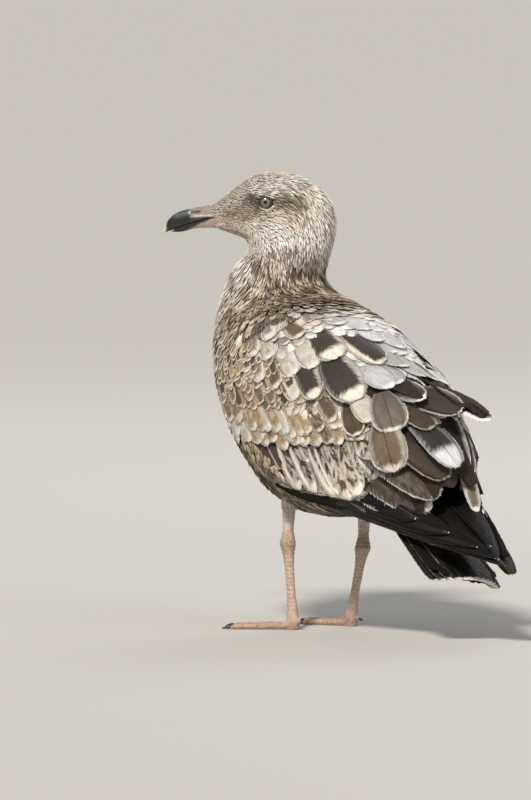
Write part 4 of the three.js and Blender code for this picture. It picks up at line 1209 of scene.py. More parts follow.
def back_feathers():
    """Mantle and the smaller shoulder feathers, brown at the neck and grey down the back."""
    plumage = Plumage("back_feathers", body_unwrap)

    def wanted(points):
        rows, turns = row_and_turn(points)
        above = np.abs(turns) < np.interp(rows, (4, 5.5, 7, 8.5, 10, 11.5), (60, 84, 82, 76, 60, 40))
        return (rows > 4.3) & (rows < 11.6) & above

    def spacing(points):
        return lerp(3.6, 5.6, smoothstep(5, 7.5, row_and_turn(points)[0]))

    roots = scattered(coat, wanted, spacing, tries=16000)
    rows, turns = row_and_turn(roots)
    size = smoothstep(4.8, 8.0, rows)
    length = lerp(13, 29, size) * rng.uniform(0.85, 1.15, len(roots))
    half = lerp(2.8, 8.0, size) * rng.uniform(0.85, 1.1, len(roots))
    looks = looks_at(roots)
    looks[:, MARK] = streaked(roots, looks, 13, wild=0.3)[:, MARK]
    looks = varied(roots, looks, 0.07)
    proud = rng.uniform(0.2, 0.8, len(roots))
    large = size > 0.4
    for own, shape, kind in ((~large, STRAND, dict(strands=LOOSE)), (large, BROAD, dict(barbs=9))):
        combed(plumage, shape, roots[own], length[own], half[own], looks[own], 2.6, proud[own],
               stray=7, down=8, hug=coat, **kind)
    return plumage


# ---------------- feathers in rows

def along_line(line, shares):
    """Places at even shares along a line of (row, turn) points."""
    line = np.array(line, float)
    stops = np.linspace(0, 1, len(line))
    return np.interp(shares, stops, line[:, 0]), np.interp(shares, stops, line[:, 1])


def laid_between(plumage, shape, roots, tips, half, looks, sink, proud, **options):
    """Lays feathers from root to tip, hugging the coat between."""
    shares = np.array(shape["stations"])[None, :, None]
    spine = roots[:, None, :] + (tips - roots)[:, None, :] * shares
    spine, normal = coat.snap(spine)
    plumage.lay(shape, spine, normal, half, looks, sink, proud, hug=coat, **options)


LESSER_TIPS = [(7.55, 107), (7.85, 103), (8.35, 97), (8.65, 89), (9.05, 82), (9.4, 73),
               (9.65, 67), (9.85, 60), (10.25, 55), (10.55, 48)]
MEDIAN_TIPS = [(8.1, 118), (8.65, 113), (9.15, 105), (9.5, 101), (10.05, 92), (10.45, 88),
               (11.0, 77), (11.5, 62), (11.9, 48)]
GREATER_TIPS = [(9.7, 124), (10.2, 122), (10.75, 117), (11.25, 110), (11.8, 102), (12.25, 94),
                (12.7, 84), (12.85, 74), (12.8, 62)]
GREATER_ROOTS = [(8.4, 116), (9.0, 106), (9.5, 98), (10.0, 91), (10.45, 86), (10.75, 81),
                 (11.05, 75), (11.3, 62), (11.5, 52)]
# Two broad greater coverts at the rear: rows and turns of root and tip, then half width.
REAR_GREATER = [(11.1, 78, 12.35, 94, 11.5), (11.4, 70, 12.6, 85, 11)]
GREATER_LOOKS = ["greater_front"] * 3 + ["greater"] * 5 + ["greater_inner"] * 5
GREATER_HALVES = ((0, 7, 10, 12), (7.6, 8.8, 10.5, 11.5))  # half widths of some of them, by number
MEDIAN_LOOKS = ("median", "median", "median_grey", "median_dark")
MEDIAN_COUNT, MEDIAN_ROWS = 18, 2
LESSER_LOOKS = {"lesser": 0.5, "lesser_buff": 0.28, "lesser_dark": 0.22}
LESSER_ROWS = 8


def greater_coverts(plumage, sign):
    """The lowest and longest row, barred, and the two broad ones behind it."""
    count = len(GREATER_LOOKS)
    shares = np.linspace(0, 1, count)
    row, turn = along_line(GREATER_TIPS, shares)
    row = row + rng.normal(0, 0.09, count)
    turn = turn + rng.normal(0, 0.4, count)
    tips = coat.at_turn(row, sign * turn)
    row, turn = along_line(GREATER_ROOTS, shares)
    roots = coat.at_turn(row, sign * turn)
    half = np.interp(np.arange(count), *GREATER_HALVES) + rng.uniform(-0.6, 0.9, count)
    looks = varied(tips, named_looks(GREATER_LOOKS), 0.08)
    laid_between(plumage, BROAD, roots, tips, half, looks, sink=1.8, proud=1.3, roll=0.1 * sign,
                 mirror=sign < 0, barbs=14)
    root_row, root_turn, row, turn, half = np.array(REAR_GREATER, float).T
    roots = coat.at_turn(root_row, sign * root_turn)
    tips = coat.at_turn(row, sign * turn)
    looks = named_looks(["greater_inner"] * len(REAR_GREATER))
    laid_between(plumage, BROAD, roots, tips, half, looks, sink=1.2, proud=2.2, roll=0.05 * sign,
                 mirror=sign < 0, barbs=20)


def median_coverts(plumage, sign):
    count = MEDIAN_COUNT
    for level in range(MEDIAN_ROWS):
        row, turn = along_line(MEDIAN_TIPS, (np.arange(count) + 0.5 * level) / (count - 0.5))
        row = row - 0.42 * level + rng.normal(0, 0.1, count)
        turn = turn - 3.5 * level + rng.normal(0, 1.5, count)
        tips = coat.at_turn(row, sign * turn)
        roots = coat.at_turn(row - 1.2, sign * (turn - 9 + rng.normal(0, 1.5, count)))
        names = [MEDIAN_LOOKS[k] for k in rng.integers(0, len(MEDIAN_LOOKS), count)]
        half = rng.uniform(7, 9, count)
        looks = varied(tips, named_looks(names), 0.12)
        laid_between(plumage, BROAD, roots, tips, half, looks, sink=1.4, proud=0.8 + 0.5 * level,
                     roll=0.07 * sign, mirror=sign < 0, barbs=14)


def lesser_coverts(plumage, sign):
    """Rows of small scales, which get smaller up the wing and stop at its front edge."""
    for level in range(LESSER_ROWS):
        count = 17 if level > 2 else 16
        row, turn = along_line(LESSER_TIPS, (np.arange(count) + 0.5 * (level % 2)) / count)
        row = row - 0.29 * level + rng.normal(0, 0.1, count)
        turn = turn - 1.2 * level + rng.normal(0, 1.7, count)
        front = np.interp(turn, (60, 98, 104, 111, 116), (5.6, 6.0, 6.9, 7.6, 8.2))
        kept = (row > np.maximum(front, 5.9)) & (turn > np.interp(row, WING_ROWS, WING_UPPER) - 9)
        row, turn = row[kept], turn[kept]
        tips = coat.at_turn(row, sign * turn)
        size = 1 - 0.05 * level
        roots = coat.at_turn(row - 0.95 * size, sign * (turn - 6 * size))
        names = np.array(list(LESSER_LOOKS))[rng.choice(3, len(tips), p=list(LESSER_LOOKS.values()))]
        half = rng.uniform(4.2, 5.6, len(tips)) * size
        looks = varied(tips, named_looks(names), 0.16)
        laid_between(plumage, BROAD, roots, tips, half, looks, sink=1.3, proud=1.2 + 0.1 * level,
                     roll=0.05 * sign, mirror=sign < 0, barbs=8)


def wing_coverts():
    plumage = Plumage("wing_coverts")
    for sign in SIDES.values():
        greater_coverts(plumage, sign)
        median_coverts(plumage, sign)
        lesser_coverts(plumage, sign)
    return plumage


# Large shoulder feathers: row and turn of root and tip, half width, height of the tip, look.
SCAPULARS = [
    (6.1, 50, 7.3, 54, 7, 1.6, "scapular_mixed"), (6.3, 62, 7.5, 68, 7, 1.6, "scapular_mixed"),
    (6.6, 71, 7.75, 77, 6.5, 1.6, "scapular_brown"), (7.0, 66, 8.35, 73.7, 8, 2.0, "scapular_mixed"),
    (7.6, 62, 8.9, 69, 8, 2.0, "scapular_brown"), (6.75, 55, 8.1, 61, 8.5, 2.0, "scapular_mist"),
    (6.6, 41, 8.2, 39, 8, 2.4, "scapular_brown"), (7.4, 49, 9.1, 57, 10.5, 2.2, "scapular_mist"),
    (7.5, 38, 9.35, 45, 10, 2.6, "scapular_pale"), (8.3, 58, 9.6, 65.5, 9, 2.3, "scapular_pale"),
    (7.6, 29, 9.6, 31.5, 14, 3.8, "scapular_patch"), (8.3, 18, 10.3, 11, 13, 3.8, "scapular_long"),
    (8.3, 46, 10.1, 57, 11, 4.4, "scapular_dark"),
    (9.4, 50, 10.9, 60, 8, 2.0, "scapular_brown"),
    (9.3, 6, 10.7, 0.2, 9, 3.2, "scapular_grey"), (9.5, 1, 11.1, -8.6, 11, 3.4, "scapular_grey"),
    (6.9, 14, 8.4, 14, 9, 1.8, "scapular_grey"), (7.2, 3, 8.9, 3, 10, 2.0, "scapular_blue"),
    (8.0, -9, 9.8, -10, 10.5, 2.2, "scapular_blue"), (8.0, 3, 9.5, 1, 10, 2.0, "scapular_blue"),
    (9.9, -17, 12.1, -5, 9.5, 3.0, "scapular_thin"), (10.2, -20, 12.4, -14, 8, 2.6, "scapular_thin"),
]
# The rearmost shoulder feathers, which bridge the fold between the back and the inner feathers:
# root and tip as forward, left and up, then half width, bow and look.
REAR_SCAPULARS = [
    ((-72, 20, 212), (-128, 19, 200), 13, 3, "scapular_grey"),
    ((-78, 28, 213), (-128, 27, 197), 12, 3, "scapular_blue"),
    ((-98, 46, 197), (-128, 47, 171), 9, 0.5, "scapular_pale"),
    ((-60, 42, 220), (-111, 48.5, 187), 15.5, 3.5, "scapular_patch"),
]
# The same on the right side, past the middle of the back.
RIGHT_SCAPULARS = [
    (9.2, -30, 10.9, -31, 11, 2.8, "scapular_dark"), (8.0, -27, 9.7, -30, 10.5, 2.6, "scapular_grey"),
    (7.2, -40, 9.0, -45, 10, 2.4, "scapular_pale"), (8.7, -42, 10.4, -49, 12, 3.0, "scapular_dark"),
    (7.1, -56, 8.8, -63, 9, 2.2, "scapular_brown"), (8.4, -56, 10.0, -64, 10, 2.5, "scapular_pale"),
    (9.7, -38, 11.5, -40, 12, 2.8, "scapular_pale"), (6.4, -42, 7.9, -45, 8, 1.8, "scapular_brown"),
    (9.7, -22, 11.3, -21, 11, 2.4, "scapular_pale"), (6.3, -64, 7.6, -69, 8, 1.8, "scapular_mixed"),
    (7.2, -27, 8.6, -28, 9, 2.0, "scapular_dark"), (9.6, -50, 11.0, -58, 9, 2.2, "scapular_brown"),
]


def scapulars():
    plumage = Plumage("shoulder_feathers")
    for entries, sign in ((SCAPULARS, 1), (RIGHT_SCAPULARS, -1)):
        root_row, root_turn, row, turn, half, proud, names = zip(*entries)
        turn = np.array(turn, float)
        roots = coat.at_turn(root_row, root_turn)
        tips = coat.at_turn(row, turn)
        looks = varied(tips, named_looks(names), 0.05)
        laid_between(plumage, BROAD, roots, tips, np.array(half, float), looks, sink=1.2, proud=proud,
                     roll=0.03 * np.sign(turn + 0.1), mirror=sign < 0, barbs=26)
        free_feathers(plumage, BROAD, REAR_SCAPULARS, sign, barbs=26)
    return plumage


# ---------------- long feathers

def free_spine(shape, roots, tips, bow, facing):
    """Spines that bow outwards between root and tip, and the way their faces look."""
    shares = np.array(shape["stations"])[None, :, None]
    chord = tips - roots
    along = np.sum(facing * chord, axis=1) / np.sum(chord * chord, axis=1)
    facing = unit(facing - chord * along[:, None])
    arch = 4 * shares * (1 - shares) * np.asarray(bow, float).reshape(-1, 1, 1)
    spine = roots[:, None, :] + chord[:, None, :] * shares + facing[:, None, :] * arch
    return spine, np.broadcast_to(facing[:, None, :], spine.shape).copy()


def outward_at(points):
    """The direction from the body line through each point."""
    rows, turns = row_and_turn(points)
    _, to_back, _ = body_axes(rows)
    turns = np.radians(turns)
    outward = np.cos(turns)[:, None] * to_back
    outward[:, 0] += np.sin(turns)
    return outward


def free_feathers(plumage, shape, entries, sign=1, facing=None, **options):
    """Lays feathers given as root and tip (forward, left, up), half width, bow and look.

    Their faces look outwards from the body, or all one way where a facing is given.
    """
    starts, ends, half, bow, names = zip(*entries)
    roots, tips = (np.array([at(forward, sign * left, up) for forward, left, up in places])
                   for places in (starts, ends))
    looks = varied(tips, named_looks(names), 0.04)
    if facing is None:
        facings = outward_at((roots + tips) / 2)
    else:
        facings = np.array([facing] * len(entries))
    spine, normal = free_spine(shape, roots, tips, bow, facings)
    plumage.lay(shape, spine, normal, np.array(half, float), looks, mirror=sign < 0, **options)


# Root and tip as forward, left and up, then half width, bow and look, from the lowest feather up.
# The right side's lie closer, as it is drawn up under the shoulder.
TERTIALS = {
    "left": [
        ((-96, 55, 118), (-144, 39, 103), 10, 3, "tertial_brown"),
        ((-100, 56, 127), (-158, 33, 103), 12, 4, "tertial_tipped"),
        ((-102, 57, 142), (-170, 21, 104), 14, 6, "tertial_tipped"),
        ((-106, 53, 158), (-178, 18, 114), 14.5, 7, "tertial_tipped"),
        ((-118, 40, 172), (-181, 12, 128), 15.5, 7, "tertial_brown"),
        ((-136, 20, 176), (-188, 7, 137), 14.5, 5, "tertial_white"),
        ((-116, 27, 192), (-162, 13, 166), 12, 3, "tertial_brown"),
    ],
    "right": [
        ((-84, 54, 118), (-140, 36, 103), 10, 3, "tertial_brown"),
        ((-92, 53, 126), (-156, 30, 103), 12, 3, "tertial_tipped"),
        ((-98, 52, 142), (-168, 22, 104), 13, 4, "tertial_tipped"),
        ((-104, 48, 157), (-174, 18, 115), 13, 4.5, "tertial_edged"),
        ((-112, 37, 172), (-177, 10, 131), 13, 4.5, "tertial_edged"),
        ((-118, 42, 130), (-186, 22, 98), 8, 2, "tertial_edged"),
    ],
}
ROUNDED_COVERTS = {
    "left": [
        ((-134.5, 42.8, 174.2), (-155, 44.8, 133.2), 15, 4.5, "covert_lower"),
        ((-123.5, 33.8, 193.2), (-149, 40.8, 164.2), 14.5, 3.5, "covert_rounded"),
        ((-98, 48, 186), (-120, 55, 160), 9, 3, "covert_dark"),
    ],
    "right": [
        ((-116, 36, 172), (-140, 37, 134), 12, 2.5, "covert_lower"),
        ((-106, 31, 191), (-132, 33, 164), 12, 2, "covert_rounded"),
        ((-98, 46, 184), (-120, 51, 158), 9, 2, "covert_dark"),
    ],
}
# The rims of the right side's inner feathers, which stand a little past the middle of the back.
RIGHT_RIMS = [
    ((-138, -19, 180), (-172, -13, 132), 6.5, 4, "tertial_grey"),
    ((-156, -15, 150), (-190, -10, 101), 6, 3, "tertial_grey"),
]
# The raised inner feathers of each side, and the way their faces look.
RAISED = {
    "left": [((-92, 20, 198), (-151, 12, 189), 10, 4, "raised_white"),
             ((-110, 14, 192), (-171, -9, 179.5), 12.5, 5, "raised_dark")],
    "right": [((-134, 22, 183), (-191, 20, 172), 11.5, 3, "raised_tip")],
}
RAISED_FACING = {"left": (0.6, 0.35, 0.72), "right": (0.1, 0.25, 0.96)}
TIP_FACING = (0.35, 0.62, 0.7)


def inner_feathers():
    plumage = Plumage("tertial_feathers")
    for name, sign in SIDES.items():
        free_feathers(plumage, BROAD, TERTIALS[name], sign, roll=0.04 * sign, barbs=30)
        free_feathers(plumage, BROAD, ROUNDED_COVERTS[name], sign, roll=0.03 * sign, barbs=32)
        if name == "right":
            free_feathers(plumage, BROAD, RIGHT_RIMS, facing=TIP_FACING, barbs=18)
        free_feathers(plumage, BROAD, RAISED[name], sign, RAISED_FACING[name], barbs=24)
    return plumage


# The stack of folded flight feathers: the body line's numbers and sections, as for the folded
# mass, then the turns of its upper and lower edges.
FLIGHT_STACK = [
    (-40, 161, 29, 68, 76, 82, 119, 127), (-66, 147, 27, 65, 74, 71, 106, 129),
    (-92, 134, 27, 60, 68, 57, 90, 127), (-120, 120, 27, 53, 58, 45, 80, 124),
    (-150, 106, 27, 41, 44, 35, 84, 120), (-180, 92, 27, 27, 31, 27, 80, 116),
    (-210, 79, 27, 16, 21, 20, 70, 112), (-234, 68, 27, 9, 13, 12, 62, 108),
    (-247, 62, 27, 5, 7, 7, 66, 100),
]


def in_stack(places, shares, sign):
    """Points on the stack's outer face, by row and by share of the way from upper to lower edge."""
    forward, up, pitch, half, back, belly, high, low = rows_at(FLIGHT_STACK, places).T
    pitch = np.radians(pitch)
    turn = np.radians(lerp(high, low, shares))
    power = 2 / SQUARENESS
    side = half * np.abs(np.sin(turn)) ** power
    reach = np.where(np.cos(turn) > 0, back, belly)
    height = reach * np.sign(np.cos(turn)) * np.abs(np.cos(turn)) ** power
    return np.stack([sign * side, -forward + np.sin(pitch) * height, up + np.cos(pitch) * height], axis=1)


# Row of the stack where each flight feather ends, its share of the way down there, half width, look.
# The right wing's end sooner and droop, and their tips are laid one by one.
PRIMARIES = [
    (3.1, 0.3, 11, "secondary"), (3.8, 0.25, 10, "primary"), (4.6, 0.28, 9.5, "primary"),
    (5.5, 0.35, 9, "primary"), (6.4, 0.45, 8, "primary"), (7.2, 0.5, 7.5, "primary"),
    (8.0, 0.6, 7, "primary"),
]
FIRST_ROW = 1.9
RIGHT_LAST_ROW, RIGHT_DROOP = 5.6, 4
# The right wing's longest feathers, whose tips cross over the left wing's.
CROSSING_TIPS = [
    ((-150, 4, 108), (-236, 6, 64), 9, 3, "primary"), ((-136, 2, 116), (-220, 9, 72), 9, 3.5, "primary"),
    ((-140, -14, 118), (-216, 2, 84), 8, 4, "primary"), ((-146, -22, 114), (-228, 5, 77), 7, 4, "primary"),
    ((-150, -27, 110), (-243, 8, 68), 6, 4, "primary_blue"),
]
LONGEST_TIP = [((-170, -26, 92), (-247.5, -2, 55), 7.5, 2, "primary_tip")]


def primaries():
    plumage = Plumage("flight_feathers")
    stations = np.array(BLADE["stations"])
    for sign in SIDES.values():
        for k, (end, share, half, name) in enumerate(PRIMARIES):
            if sign < 0:
                end = min(end, RIGHT_LAST_ROW)
            places = lerp(FIRST_ROW, end, stations)
            shares = lerp(min(share + 0.08 * k, 0.9), share, stations)
            spine = in_stack(places, shares, sign)[None]
            if sign < 0:
                spine[..., 2] -= RIGHT_DROOP * stations ** 2
            normal = outward_at(spine[0])[None]
            looks = varied(spine[:, -1], named_looks([name]), 0.04)
            plumage.lay(BLADE, spine, normal, np.array([half], float), looks, sink=0.6,
                        proud=1.4 - 0.16 * k, roll=0.03 * sign, mirror=sign < 0)
    free_feathers(plumage, BLADE, CROSSING_TIPS, facing=TIP_FACING)
    free_feathers(plumage, BROAD, LONGEST_TIP, facing=TIP_FACING)
    return plumage


TAIL_FEATHERS = 12
TAIL_HALF = 9.5  # half width of each feather


def tail():
    """A closed fan: the middle pair lies on top, and each next feather lies under its neighbour."""
    plumage = Plumage("tail_feathers")
    for k in range(TAIL_FEATHERS):
        across = (2 * k + 1) / TAIL_FEATHERS - 1
        outer = abs(across)
        root = at(-112, 22 * across, 104 - 3 * outer)
        tip = at(-204 + 15 * across ** 2, 30 * across, 49 - 4 * across ** 2 + 5 * across - outer)
        name = "tail_outer" if outer > 0.7 else "tail"
        facing = np.array([[0.12 * across, 0.45, 0.9]])
        spine, normal = free_spine(SQUARE, root[None], tip[None], 1.5, facing)
        plumage.lay(SQUARE, spine, normal, np.array([TAIL_HALF]), named_looks([name]),
                    roll=-0.05 * np.sign(across))
    return plumage


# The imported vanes: the piece's kind, its slot, its look and the nodes that it stands for.
PACKED = [
    ("primaries", "flight_feathers", "secondary", ["primaries_left", "primaries_right"]),
    ("tertials", "tertial_feathers", "tertial_under", ["tertials_left", "tertials_right"]),
    ("tail", "tail_feathers", "secondary", ["tail"]),
]
TIPS_START = 200  # how far back the flight feathers' tips start, in millimetres


def closed_vanes():
    """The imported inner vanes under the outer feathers, drawn in from the outline."""
    material = feather_material("packed dark inner vanes with painted shade", barb=0.8, roughness=0.8, sheen=0.0, depth=0.1)
    for kind, slot, name, nodes in PACKED:
        points, quads = remeshed(nodes, voxel=1.3, grow=0.4)
        points = relaxed(points, quads, 3)
        depth = 1.3 + 2.2 * smoothstep(195, 235, points[:, 1])
        if kind == "tertials":
            depth += 3 * smoothstep(-6, -16, points[:, 0])
        points -= surface_normals(points, quads) * depth[:, None]
        if kind == "primaries":
            past = 0.25 * np.maximum(points[:, 1] - TIPS_START, 0)
            points += past[:, None] * np.array((0, -1, 0.45))
        mesh = quad_mesh(f"packed_{kind}", points, quads)
        # Plain dark with no pale fringes: partly the inner vanes' own dark colour, partly painted shade in
        # the gaps between the outer feathers.
        looks = np.tile(named_looks([name]), (len(points), 1))
        looks[:, GROUND] = looks[:, MARK]
        looks[:, [SIDE_FRINGE, RAGGED, BARS, SHAFT]] = 0
        paint_looks(mesh, looks)
        piece(mesh, material, slot, *nodes)


# ---------------- head parts

def upper_bill_colours(points, spots):
    """Slate black at the front with a painted highlight on top, a greyish base, a pale cutting edge and a
    yellow tip.
    """
    codes = ("#1f2123", "#8f857c", "#ddd6b4", "#d9cfc2", "#666e76")
    dark, base, tip, pale, highlight_grey = (linear(code) for code in codes)
    ahead, _, above = head_place(points)
    over_edge = above + 0.07 * (ahead - 45)
    edge = np.exp(-((over_edge + 10.7) / 0.7) ** 2) * smoothstep(63, 57, ahead)
    streak = smoothstep(-11.4, -12.2, over_edge) * smoothstep(44, 47, ahead)
    front = smoothstep(60, 66, ahead + spots - 0.4 * (above + 8))
    # Painted highlight: a grey-blue band along the top of the black, where light catches the bill.
    wear_and_highlight = np.exp(-((above + 9.5 + 0.25 * (ahead - 66)) / 2.2) ** 2) * smoothstep(79, 74, ahead)
    tint = np.tile(base, (len(points), 1))
    tint = lerp(tint, pale, 0.8 * edge[:, None])
    dark = lerp(dark, highlight_grey, 0.7 * wear_and_highlight[:, None])
    tint = lerp(tint, dark, np.maximum(0.9 * streak, front)[:, None])
    return lerp(tint, tip, smoothstep(81, 83.2, ahead + 0.3 * spots)[:, None])


def lower_bill_colours(points, spots):
    """Pink at the gape, slate black in front, and a yellow tip."""
    gape, dark, tip = (linear(code) for code in ("#b69e92", "#1f2123", "#ddd6b4"))
    ahead, _, above = head_place(points)
    front = smoothstep(52, 58, ahead + 0.6 * spots + 2.2 * (above + 18.5))
    tint = lerp(np.tile(gape, (len(points), 1)), dark, front[:, None])
    return lerp(tint, tip, smoothstep(75.5, 78, ahead + 0.3 * spots)[:, None])


def with_nostril(points, quads, tint):
    """The upper bill with a slit sunk in each side."""
    depth, place, length, height = 1.2, 58, 4.4, 1.0
    ahead, side, above = head_place(points)
    drop = above + 8.3 + 0.12 * (ahead - place)
    slit = np.exp(-((ahead - place) / length) ** 4 - (drop / height) ** 2)
    slit = slit * smoothstep(2, 4, np.abs(side))
    # The slit is painted near black as well as sunk: painted shade in the opening.
    tint = lerp(tint, linear("#231a16"), 0.9 * slit[:, None])
    return points - surface_normals(points, quads) * (depth * slit)[:, None], tint


def bill():
    """The two halves, whose hidden bases are drawn back under the feathers."""
    material = horn_material("satin bill horn", roughness=0.34)
    for name in BILL:
        upper = name == "bill_upper"
        points, quads = remeshed([name], voxel=0.42, grow=0.15 if upper else 0.4)
        points = relaxed(points, quads, 10)
        spots = 2.0 * clumps(points, 3.0, 7.7)
        base = (head_place(points)[0] < 44.4)[:, None]
        if upper:
            points, tint = with_nostril(points, quads, upper_bill_colours(points, spots))
        else:
            tint = lower_bill_colours(points, spots)
        points = points - HEAD_AHEAD * (2.5 * base)
        mesh = quad_mesh(name + "_horn", points, quads)
        paint(mesh, "horn", tint)
        piece(mesh, material, "bill_horn", name)


def claws():
    material = horn_material("dark claw horn", roughness=0.4)
    for side in SIDES:
        names = [f"claw_{side}_{k}" for k in (1, 2, 3, 4)]
        points, quads = remeshed(names, voxel=0.28, grow=0.02)
        points = relaxed(points, quads, 5)
        points[:, 2] = np.maximum(points[:, 2], 0)
        mesh = quad_mesh(f"claws_{side}_horn", points, quads)
        paint(mesh, "horn", np.tile(linear("#2a2320"), (len(points), 1)))
        piece(mesh, material, "claw_horn", *names)


def eye_axis(sign):
    """The way an eye looks: outwards, and a little back and up."""
    return unit(-0.1 * HEAD_AHEAD + sign * HEAD_SIDE + 0.03 * UP)


def placed_on_eye(made, sign, offset):
    """Turns a bmesh made round +Z to look out along the eye's axis, and puts it at the eye."""
    axis = eye_axis(sign)
    centre = eye_centre(sign) + axis * offset
    level = unit(np.cross(UP, axis))
    turn = Matrix((level, np.cross(axis, level), axis)).transposed().to_4x4()
    place = Matrix.Translation(Vector((centre + SHIFT) * MM))
    bmesh.ops.transform(made, matrix=place @ turn @ Matrix.Scale(MM, 4), verts=made.verts)


def eye_colours(local):
    """Rings of colour out from the middle of the eye: pupil, iris with radial fibres, dark rim."""
    codes = ("#060504", "#858077", "#655f56", "#2a2520", "#0e0b09")
    pupil, iris_inner, iris, rim, dark = (linear(code) for code in codes)
    behind = 9.0
    wide = np.where(local[:, 2] > 0, np.hypot(local[:, 0], local[:, 1]), behind)
    fibres = 0.12 * np.sin(31 * np.arctan2(local[:, 1], local[:, 0]) + 3 * wide)
    tint = np.tile(pupil, (len(local), 1))
    tint = lerp(tint, iris_inner, smoothstep(1.55, 1.8, wide)[:, None])
    tint = lerp(tint, iris * (1 + fibres[:, None]), smoothstep(2.1, 2.9, wide)[:, None])
    tint = lerp(tint, rim, smoothstep(3.3, 3.8, wide)[:, None])
    return lerp(tint, dark, smoothstep(3.9, 4.2, wide)[:, None])


LID_OPENING, LID_THICK = 4.55, 0.85  # radii of the bare ring of lid and of its roll
LID_OUT = 5.75  # how far it stands from the eye's centre
LID_STRETCH = (1.09, 0.95, 1)


def eyes():
    """Each eye's ball, and round it a bare rim of lid, a ring a little longer than high."""
    wet_eye = eye_material()
    lid_skin = horn_material("bare dark eyelid skin", roughness=0.55)
    for side, sign in SIDES.items():
        ball = bmesh.new()
        bmesh.ops.create_uvsphere(ball, u_segments=96, v_segments=96, radius=EYE_RADIUS)
        tint = eye_colours(np.array([vertex.co[:] for vertex in ball.verts]))
        placed_on_eye(ball, sign, 0)
        mesh = mesh_from(ball, f"eyeball_{side}")
        paint(mesh, "iris", tint)
        piece(mesh, wet_eye, "eye", f"eye_{side}")

        lid = bmesh.new()
        bmesh.ops.create_circle(lid, segments=12, radius=LID_THICK)
        bmesh.ops.rotate(lid, matrix=Matrix.Rotation(math.pi / 2, 3, "X"), verts=lid.verts)
        bmesh.ops.translate(lid, vec=(LID_OPENING, 0, 0), verts=lid.verts)
        bmesh.ops.spin(lid, geom=lid.verts[:] + lid.edges[:], cent=(0, 0, 0), axis=(0, 0, 1),
                       angle=FULL_TURN, steps=48, use_merge=True)
        bmesh.ops.scale(lid, vec=LID_STRETCH, verts=lid.verts)
        bmesh.ops.recalc_face_normals(lid, faces=lid.faces)
        placed_on_eye(lid, sign, LID_OUT)
        mesh = mesh_from(lid, f"eyelid_{side}")
        paint(mesh, "horn", np.tile(linear("#2e2823"), (len(mesh.vertices), 1)))
        piece(mesh, lid_skin, "eye")


def eyelid_feathers(plumage):
    """Two pale crescents of tiny feathers, above and below each eye."""
    for sign in SIDES.values():
        axis = eye_axis(sign)
        level = unit(np.cross(UP, axis))
        upright = np.cross(axis, level)
        for start, stop in ((40, 140), (205, 335)):
            for reach in (5.7, 6.4):
                angles = np.radians(np.arange(start, stop, 7.5) + rng.uniform(-1.5, 1.5))
                ring = np.cos(angles)[:, None] * level * 1.08 + np.sin(angles)[:, None] * upright * 0.95
                roots = eye_centre(sign) + axis * 6.2 + ring * reach
                looks = streaked(roots, named_looks(["lid"] * len(roots)), 3)
                half = np.full(len(roots), 0.42)
                combed(plumage, TUFT, roots, np.full(len(roots), 1.9), half, looks, 0.3, 0.35, stray=4)


def shin_feathers(plumage):
    """A short ragged cuff of feathers at the top of each shin."""
    count = 150
    for side in SIDES:
        low, high = (np.array(corner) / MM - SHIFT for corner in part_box(f"tibia_{side}"))
        middle = (low + high) / 2
        angles = rng.uniform(0, FULL_TURN, count)
        height = high[2] - 1 - 5 * rng.uniform(0, 1, count) ** 1.4
        out = np.stack([np.cos(angles), np.sin(angles), np.zeros(count)], axis=1)
        roots = np.array([middle[0], middle[1], 0]) + out * 4.6
        roots[:, 2] = height + 4
        tips = roots + out * 0.8 + np.array([0, 2.0, -7])
        looks = streaked(roots, named_looks(["shin"] * count), 4)
        spine, normal = free_spine(TUFT, roots, tips, 0.8, out)
        plumage.lay(TUFT, spine, normal, np.full(count, 0.9), looks)


# ---------------- the bird

head_down = feather_material("short loose head plumage", barb=0.5, roughness=0.75, sheen=0.35, depth=0.1)
contour = feather_material("soft contour feathers", barb=0.6, roughness=0.7, sheen=0.3, depth=0.14)
covert = feather_material("smooth covert feathers", barb=1.0, roughness=0.62, sheen=0.2, depth=0.15)
flight = feather_material("glossy flight feathers", barb=1.3, roughness=0.5, sheen=0.0, depth=0.14)

skin_piece()

head = head_feathers()
eyelid_feathers(head)
head.finish(head_down, "head_plumage")
neck_feathers().finish(contour, "head_plumage")
body = body_feathers()
shin_feathers(body)
body.finish(contour, "body_plumage")
back_feathers().finish(covert, "body_plumage")
scapulars().finish(covert, "body_plumage")
wing_coverts().finish(covert, "wing_coverts")
inner_feathers().finish(covert, "tertial_feathers")
primaries().finish(flight, "flight_feathers")
tail().finish(flight, "tail_feathers")
closed_vanes()
bill()
claws()
eyes()

# ---------------- studio

FIBRES_PER_MM = 0.9  # coarser than real paper's, which wouldn't show


def studio_floor():
    """Pale matt paper: soft, without gloss, and faintly fibrous."""
    material, tree = new_material("pale matt paper")
    place = add_node(tree, "TexCoord", output="Object")
    fibre = add_node(tree, "TexNoise", {"Vector": place, "Scale": FIBRES_PER_MM / MM, "Detail": 2.0})
    bump = add_node(tree, "Bump", {"Height": fibre, "Strength": 0.05, "Distance": 0.1 * MM})
    shader = add_node(tree, "BsdfPrincipled", {
        "Base Color": (*linear("#c4c3c0"), 1), "Roughness": 0.9, "Normal": bump})
    add_node(tree, "OutputMaterial", {"Surface": shader})
    ground = bmesh.new()
    bmesh.ops.create_grid(ground, x_segments=1, y_segments=1, size=30)
    mesh = mesh_from(ground, "studio_floor", smooth=False)
    mesh.materials.append(material)
    floor = bpy.data.objects.new("studio_floor", mesh)
    bpy.context.scene.collection.objects.link(floor)


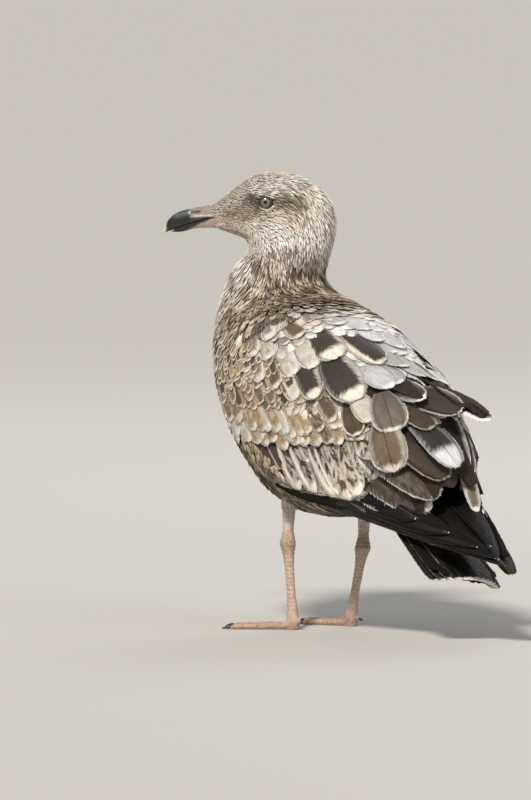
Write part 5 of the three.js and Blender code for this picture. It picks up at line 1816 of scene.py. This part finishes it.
# Name, kind, place, size, power and colour. An area lamp is a disc, and its size its width in
# metres. A sun lights evenly from far off, and its size is the angle it fills, in degrees.
LAMPS = [
    ("key", "SUN", (1.5, 1.0, 2.15), 10, 3.1, "#fff7ec"),
    ("fill", "AREA", (-0.6, 2.4, 1.2), 1.6, 9, "#f6f6ff"),
    ("back", "AREA", (-1.6, -1.4, 1.8), 1.0, 10, "#ffffff"),
]
LAMP_AIM = (0, 0, 0.2)
ROOM_COLOUR, ROOM_LIGHT = "#ecebea", 0.42


def lights():
    world = bpy.data.worlds.new("soft room light")
    world.use_nodes = True
    background = world.node_tree.nodes["Background"]
    background.inputs["Color"].default_value = (*linear(ROOM_COLOUR), 1)
    background.inputs["Strength"].default_value = ROOM_LIGHT
    bpy.context.scene.world = world
    for name, kind, place, size, power, colour in LAMPS:
        light = bpy.data.lights.new(name, kind)
        light.color = linear(colour)
        light.energy = power
        if kind == "SUN":
            light.angle = math.radians(size)
        else:
            light.shape = "DISK"
            light.size = size
        lamp = bpy.data.objects.new(name, light)
        lamp.location = place
        lamp.rotation_mode = "QUATERNION"
        lamp.rotation_quaternion = (Vector(LAMP_AIM) - Vector(place)).to_track_quat("-Z", "Y")
        bpy.context.scene.collection.objects.link(lamp)


# The view's right, and the way to the lens: 36 degrees off straight behind, and 4 up.
VIEW_RIGHT = (-0.809, 0.588, 0)
VIEW_BACK = (0.5864, 0.8070, 0.0698)
VIEW_DISTANCE, VIEW_HEIGHT = 18000, 632  # millimetres
VIEW_CENTRE = (-47.0, 177.75)  # right of and above the point between the feet


def camera():
    """A long lens eighteen metres off, a little above the bird, behind its left shoulder."""
    right = np.array(VIEW_RIGHT)
    back = unit(np.array(VIEW_BACK))
    up = np.cross(back, right)
    target = at(0, 0, 0) + SHIFT + VIEW_CENTRE[0] * right + VIEW_CENTRE[1] * up
    data = bpy.data.cameras.new("long_lens")
    data.sensor_fit = "VERTICAL"
    data.sensor_height = 36
    data.lens = data.sensor_height * VIEW_DISTANCE / VIEW_HEIGHT
    data.clip_end = 100
    made = bpy.data.objects.new("camera", data)
    made.location = (target + back * VIEW_DISTANCE) * MM
    made.rotation_mode = "QUATERNION"
    made.rotation_quaternion = Matrix((right, up, back)).transposed().to_quaternion()
    bpy.context.scene.collection.objects.link(made)
    bpy.context.scene.camera = made


studio_floor()
lights()
camera()
bpy.context.scene.view_settings.view_transform = "Standard"

bpy.context.view_layer.update()
